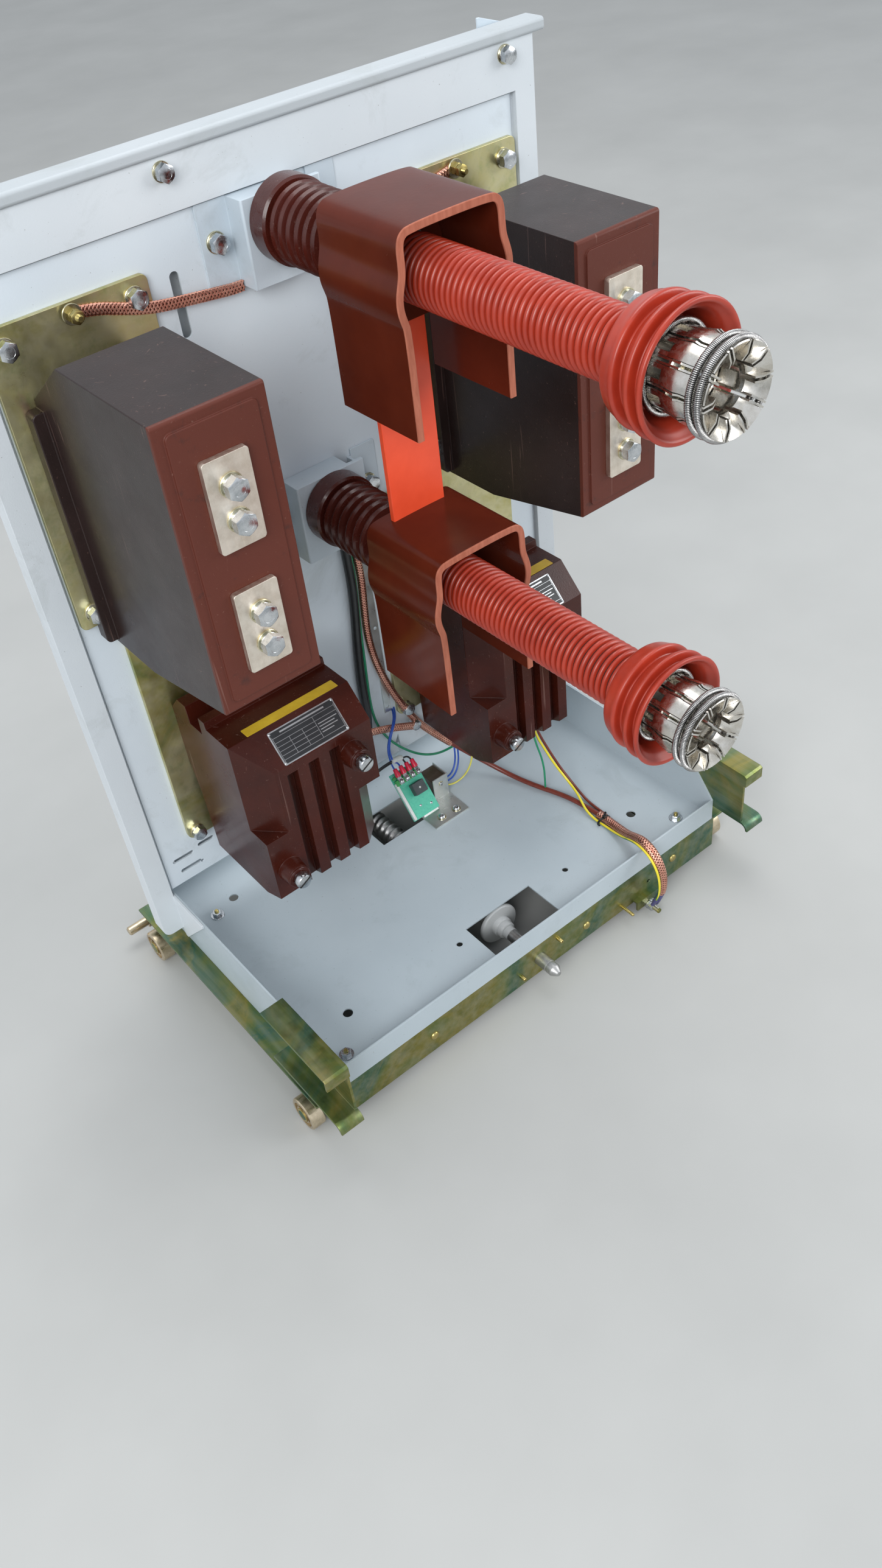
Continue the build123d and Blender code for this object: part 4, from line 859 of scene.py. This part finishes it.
# Bolts on the current transformers, their plates and their earth studs
for name, side in SIDES.items():
    pads = Build()
    for z in (688.5, 659.5, 577, 548):
        pads.bolt((side * CT_X, CT_FRONT, z), 10)
    pads.finish(name + "_ct_terminal_bolts")
    plates = Build()
    for x, z in ((141.3, 749.8), (258.4, 748.1), (141.3, 499), (258.4, 499)):
        plates.bolt((side * x, PLATE_FACE, z), 9)
    for dx in (-85, 85):
        for z in (195, 461):
            plates.bolt((side * VT_X + dx, PLATE_FACE, z), 8)
    plates.finish(name + "_plate_bolts")
    stud = Build()
    at = aim((side * 198, PLATE_FACE, 756))
    stud.washer(at, 2.8, 4.2, 8.6, 3.2)
    stud.hexagon(shifted(at, 0, 0, 4.2), 10.5, 5.2)
    stud.stud(at, 19, 3.2)
    stud.hexagon(shifted(at, 0, 0, 10.4), 10.5, 4.2)
    stud.finish(name + "_earth_stud", [BRASSY, WASHER])

# Bolts of the panel frame and insulator seats, and the panel's small screws
bolts = Build()
for x, z in ((-92, 833), (267, 834)):
    bolts.bolt((x, PLATE_FACE, z), 8)
for x, z in ((-56.3, 766.6), (56.3, 766.6), (56.3, 493), (-56.3, 493)):
    bolts.bolt((x, SEAT_FACE, z), 9)
bolts.screw((60, 214, 189), FRONT, 4, 3)
for x, z in [(x, z) for x in (-290, 290) for z in (180, 420, 660, 800)] + [
        (x, 826) for x in (-180, 0, 180)]:
    bolts.screw((x, PANEL_BACK, z), BACK, 4.4, 3)
bolts.finish("panel_bolts")

# Slotted screws on the voltage transformers, their blank rating plates and ridge strips.
# Each line on a plate: width, height, and its middle across and up the plate.
PLATE_LINES = (
    (72, 0.35, 0, 10.5), (72, 0.35, 0, 5.5), (46, 0.35, -13, 1), (46, 0.35, -13, -3.5),
    (46, 0.35, -13, -8), (72, 0.35, 0, -12.4), (0.35, 22.9, 10.2, -0.95),
    (0.35, 17.9, -20, -3.4), (0.35, 17.9, -5, -3.4), (0.35, 27.5, -36, -1.8),
    (0.35, 27.5, 36, -1.8), (52, 1.6, 0, 13.6), (22, 0.9, 23, 1.6), (18, 0.9, 21, -1.4),
    (20, 0.9, 22, -4.4), (14, 0.9, 19, -7.4))
slope = atan2(31, 30)    # lean of the transformers' upper front face
slope_place = Vector((0, 71, 340)) + Vector((0, cos(slope), sin(slope))) * 19.3
for name, side in SIDES.items():
    x0 = side * VT_X
    terminals = Build()
    for dx, z in ((46 * 0.93, 313), (-56 * 0.93, 216)):
        at = aim((x0 + dx, 55, z))
        terminals.washer(at, 0, 1.6, 12, 4, tag=3)
        terminals.lathe(at, [(1.6, 4), (1.6, 7.4), (2.4, 7.4), (2.4, 8), (3, 8.4),
                             (9.4, 8.4), (10.8, 7.4), (11, 6.4), (11, 0)])
        terminals.slab(at @ Matrix.Rotation(0.5, 4, "Z"), box_outline(15.6, 2),
                       10, 11.12, tag=2)
    terminals.finish(name + "_vt_terminals", [BOLT, WASHER, SHADOW, VT_RESIN])
    plate = Build()
    at = Matrix.Translation((x0 + 8.3, 0, 0)) @ Matrix.Translation(
        slope_place) @ Matrix.Rotation(slope, 4, "X")
    plate.slab(at, box_outline(76.5, 35.6, 1), -0.2, 0.6, edge=0.15)
    plate.slab(at, box_outline(73.8, 33, 0.4), 0.5, 0.68, tag=1)
    for width, height, dx, dy in PLATE_LINES:
        plate.block(at, (dx, dy), (width, height), 0.6, 0.76)
    for dx in (-36.6, 36.6):
        for dy in (-15.8, 15.8):
            plate.lathe(shifted(at, dx, dy, 0.6),
                        [(0, 1.3), (0.3, 1.2), (0.6, 0.7), (0.7, 0)], 16)
    plate.finish(name + "_rating_plate", [PLATE_SILVER, PLATE_BLACK])
    strip = Build()
    strip.slab(Matrix.Translation((x0 + 6, 107.8, 371)), box_outline(107, 12.4, 0.6),
               -0.1, 0.3, edge=0.1)
    strip.finish(name + "_ridge_strip", [LABEL])

# Circuit board: board, relay, terminal row, push-on terminals and their coloured boots
BOARD_PAINTS = [BOARD, RELAY, BOARD_GREEN, PALE_PLASTIC, BOLT, BOOT]
board = Build()


def board_frame(x):
    """A frame on the board's face, its foot at x, with axes across, along and out."""
    return Matrix.Translation(on_board(x, 0, 0)) @ Matrix.Rotation(BOARD_LEAN, 4, "X")


face = board_frame(34.5)
for place, size, low, high, paint, edge in (
        ((0, 31.5), (39, 63, 0.5), -1.6, 0, BOARD, 0.1),
        ((-17.6, 26), (3.4, 50, 0.6), 0, 3.2, PALE_PLASTIC, 0.3),
        ((5, 33.5), (17, 15, 0.8), 0, 9, RELAY, 0.6),
        ((5, 33.5, 9), (2.4, 2.4, 0.8), 0, 0.2, PALE_PLASTIC, 0),
        ((0, 50.5), (36, 7, 0.5), 0, 5.4, BOARD_GREEN, 0.5),
        ((0, 57), (37, 3.2, 0.4), 0, 2.2, BOARD_GREEN, 0.3)):
    board.block(face, place, size, low, high, BOARD_PAINTS.index(paint), edge)
on_bolt, on_boot = BOARD_PAINTS.index(BOLT), BOARD_PAINTS.index(BOOT)
for x, y in ((-2, 13), (12, 9)):
    board.lathe(shifted(face, x, y), [(0, 1.6), (0.5, 1.5), (1.1, 0.6), (1.2, 0)], 16, on_bolt)
for k in range(6):
    board.lathe(shifted(face, -15 + 6 * k, 59.6), [(0, 1), (0.5, 0.9), (1, 0.3), (1.2, 0)],
                14, on_bolt)
for x in BOOT_XS:
    at = board_frame(x)
    board.block(at, (0, 50.5), (6.2, 6.4, 0.5), 5.2, 7.4, on_bolt, 0.3)
    board.block(at, (0, 55.5), (5.6, 6, 0.8), 3.6, 6, on_bolt, 0.4)
    board.lathe(shifted(at, 0, 50.5, 7.4),
                [(0, 2.9), (0.8, 2.8), (1.6, 2.2), (2, 1), (2.1, 0)], 20, on_bolt)
    board.lathe(aim(on_board(x, 57, 5.4), BOARD_UP),
                [(0, 2.8), (0.3, 3.5), (2.8, 3.6), (5, 3.1), (9.4, 2.7), (10.6, 2.3),
                 (10.6, 1), (8, 0.8)], 24, on_boot)
board.finish("board_with_terminals", BOARD_PAINTS, node="circuit_board",
             smooth=35)
screws = Build()
for x, y in ((45.3, 144.8), (67, 143.6)):
    screws.screw((x, y, 67), UP, 4.2, 3.2)
screws.screw((68, 171, 90), FRONT, 2.4, 1.8)
screws.finish("bracket_screws")

# Earth braids: woven copper in place of the plain straps, along (x, z) runs
slope_run = [(198, 756), (178, 753.5), (152, 744), (128, 736.5), (93, 732), (60, 728), (50, 727),
             (40.5, 727)]
low_run = [(-66, 206), (-46, 205), (-22, 202), (2, 196), (27, 187), (49, 176.5), (64, 168.5)]
for name, run, y, lag, ends in (
        ("left_earth_braid", [(-x, z) for x, z in slope_run], 207.6, 0, ()),
        ("right_earth_braid", slope_run, 207.6, 0, ()),
        ("lower_earth_braid", low_run, 200, 1.2, (low_run[0], low_run[-1]))):
    woven = Build()
    woven.braid(line_of([(x, y + lag * sin(0.9 * k), z) for k, (x, z) in enumerate(run)]),
                9.4, 2.6)
    for x, z in ends:
        woven.lathe(aim((x, PLATE_FACE, z)),
                    [(0, 5), (7.6, 5), (7.6, 6.2), (11, 6.2), (11.6, 5.6), (11.6, 0)], 28, tag=2)
    woven.finish(name + "_woven", [BRAID, BRAID_SHADE, BOLT], node=name,
                 smooth=60)


# The earth lead's bare braids, the cable tie and the crimped lugs at the earth stud
def stretch(cord, inside):
    """The places of a cord's line that a test picks."""
    return [p for p in line_of(ROUTES[cord][2]) if inside(p)]


lip = Build()
lip.braid(stretch("earth_cable", lambda p: p.y < 14 and p.z > 34), 10.6, 6.8, (1, 0, 0),
          strands=6, pitch=20)
lip_braid = lip.finish("earth_lead_lip_braid", [BRAID, BRAID_SHADE], smooth=60)
back = Build()
back.braid(stretch("earth_cable", lambda p: 112 < p.z < 440), 8.2, 6.6, pitch=16)
back_braid = back.finish("earth_lead_back_braid", [BRAID, BRAID_SHADE], smooth=60)
lugs = Build()
for name, radius, top in (("earth_cable", 3.9, 36), ("bonding_wire", 2.4, 30)):
    lugs.tube(even(stretch(name, lambda p: p.z < top), 1), radius, tag=2)
at = aim((160, -81, 9))
for low, high, outer, tag in ((0.5, 2, 7, 1), (7.6, 8.8, 6.4, 0), (9, 10.2, 6, 0)):
    lugs.washer(at, low, high, outer, 3.1, tag)
lugs.slab(aim((162.8, -89.2, 12.2)), box_outline(6.4, 7, 1), -0.6, 0.6)
lugs.slab(aim((158.4, -90.4, 12.6)), box_outline(4, 7, 1), -0.6, 0.6)
lugs.hexagon(shifted(at, 0, 0, 10.4), 10, 5)
lugs.hexagon(shifted(at, 0, 0, 2.2), 10, 4.6)
lugs.stud(at, 23.5, 3.1)
earth_lugs = lugs.finish("earth_lugs", [BOLT, WASHER, LUG_SLEEVE])
tie = Build()
at = Matrix.Translation((177.2, 3, 67.6)) @ Matrix.Rotation(0.06, 4, "Y")
loop = [(8.4 * copysign(abs(c) ** 0.7, c), 4.3 * copysign(abs(s) ** 0.8, s))
        for c, s in circle(40)]
tie.rings([[at @ Vector((x * scale, y, z * scale + 0.6)) for x, z in loop]
           for scale, y in ((1, -1.3), (1.14, -1.3), (1.14, 1.3), (1, 1.3))], closed=True)
tie.block(at, (1.5, 0, 5), (4.6, 4.4, 0.6), 0, 3.4, edge=0.5)
tie.slab(shifted(at, 1.2, 0, 8) @ Matrix.Rotation(0.35, 4, "Y"), box_outline(1, 2.2),
         0, 5, edge=0.2)
cable_tie = tie.finish("cable_tie", [BLACK_PLASTIC], smooth=35)
cover = Build()
cover.tube(even(stretch("board_lead_c", lambda p: 17 < p.x < 35), 1), 3.3)
wire_sleeve = cover.finish("white_wire_sleeve", [PALE_PLASTIC])

# Rivets, spring pins and weld nuts of the chassis and tray
small = Build()
for x, z in ((71, 33), (-150, 36), (210, 40)):
    small.lathe(aim((x, BEAM_FACE, z)), [(0, 5.2), (0.7, 5.1), (1.8, 4), (2.4, 2.2), (2.5, 0)],
                28)
for x, z in ((-28, 28), (28, 46)):
    small.lathe(aim((x, BEAM_FACE, z)),
                [(0, 2.4), (6, 2.4), (6.8, 1.8), (6.8, 1), (5.6, 0.9), (5.6, 0)], 20)
small.lathe(aim((128.3, BEAM_FACE, 18.6)), [(0, 1.9), (17, 1.9), (17.6, 1.4), (17.6, 0)], 20)
for x, y in ((-242, -51), (242, -51), (-238, 206), (238, 206)):
    nut = aim((x, y, TRAY_FLOOR + 1.2), UP)
    small.washer(aim((x, y, TRAY_FLOOR), UP), 0, 1.2, 8, 3, tag=2)
    small.slab(nut, [(5.6 * c, 5.6 * s) for c, s in circle(6)], 0, 4.6, tag=2, edge=0.5)
    small.stud(nut, 7.2, 2.6)
for side in SIDES.values():
    for y in (-49, 257):
        small.washer(aim((side * 305.1, y, 19), (side, 0, 0)), 0, 1, 8.4, 4, tag=0)
small.finish("chassis_fasteners", [BRASSY, WASHER, BOLT])


# The cords: each one's radius, length and points are read back, and nothing more is done here.
for name, made in CORDS.items():
    radius, length, points = ROUTES[name]

# Stage: a plain pale floor, soft lamps and an even world
LAMP_TARGET = Vector((0, 0, 0.4))
for name, place, size, power in (
        ("lamp_top", (0.5, 0.7, 3.2), 2.2, 40), ("lamp_left", (-2.2, -1.8, 2.2), 1.8, 66),
        ("lamp_right", (2.4, -1.6, 1.6), 1.8, 34)):
    data = bpy.data.lights.new(name, "AREA")
    data.shape = "DISK"
    data.size = size
    data.energy = power
    made = shown(name, data)
    made.location = place
    made.rotation_mode = "QUATERNION"
    made.rotation_quaternion = (Vector(place) - LAMP_TARGET).to_track_quat("Z", "Y")

world = bpy.data.worlds.new("world")
world.use_nodes = True
background = next(n for n in world.node_tree.nodes if n.type == "BACKGROUND")
background.inputs["Color"].default_value = (0.86, 0.9, 0.95, 1)
background.inputs["Strength"].default_value = 0.88
scene.world = world

FLOOR_HALF = 12
ground = bpy.data.meshes.new("floor")
ground.from_pydata([(x, y, 0) for x, y in box_outline(2 * FLOOR_HALF, 2 * FLOOR_HALF)],
                   [], [(0, 1, 2, 3)])
floor = shown("floor", ground)
pale = Paint("floor_pale", Roughness=0.85)
pale.feed("Base Color", pale.ramp(pale.noise(3, 4), [(0.3, "a9aaa8"), (0.7, "b1b2b0")]))
ground.materials.append(pale.mat)
scene.view_settings.view_transform = "Standard"
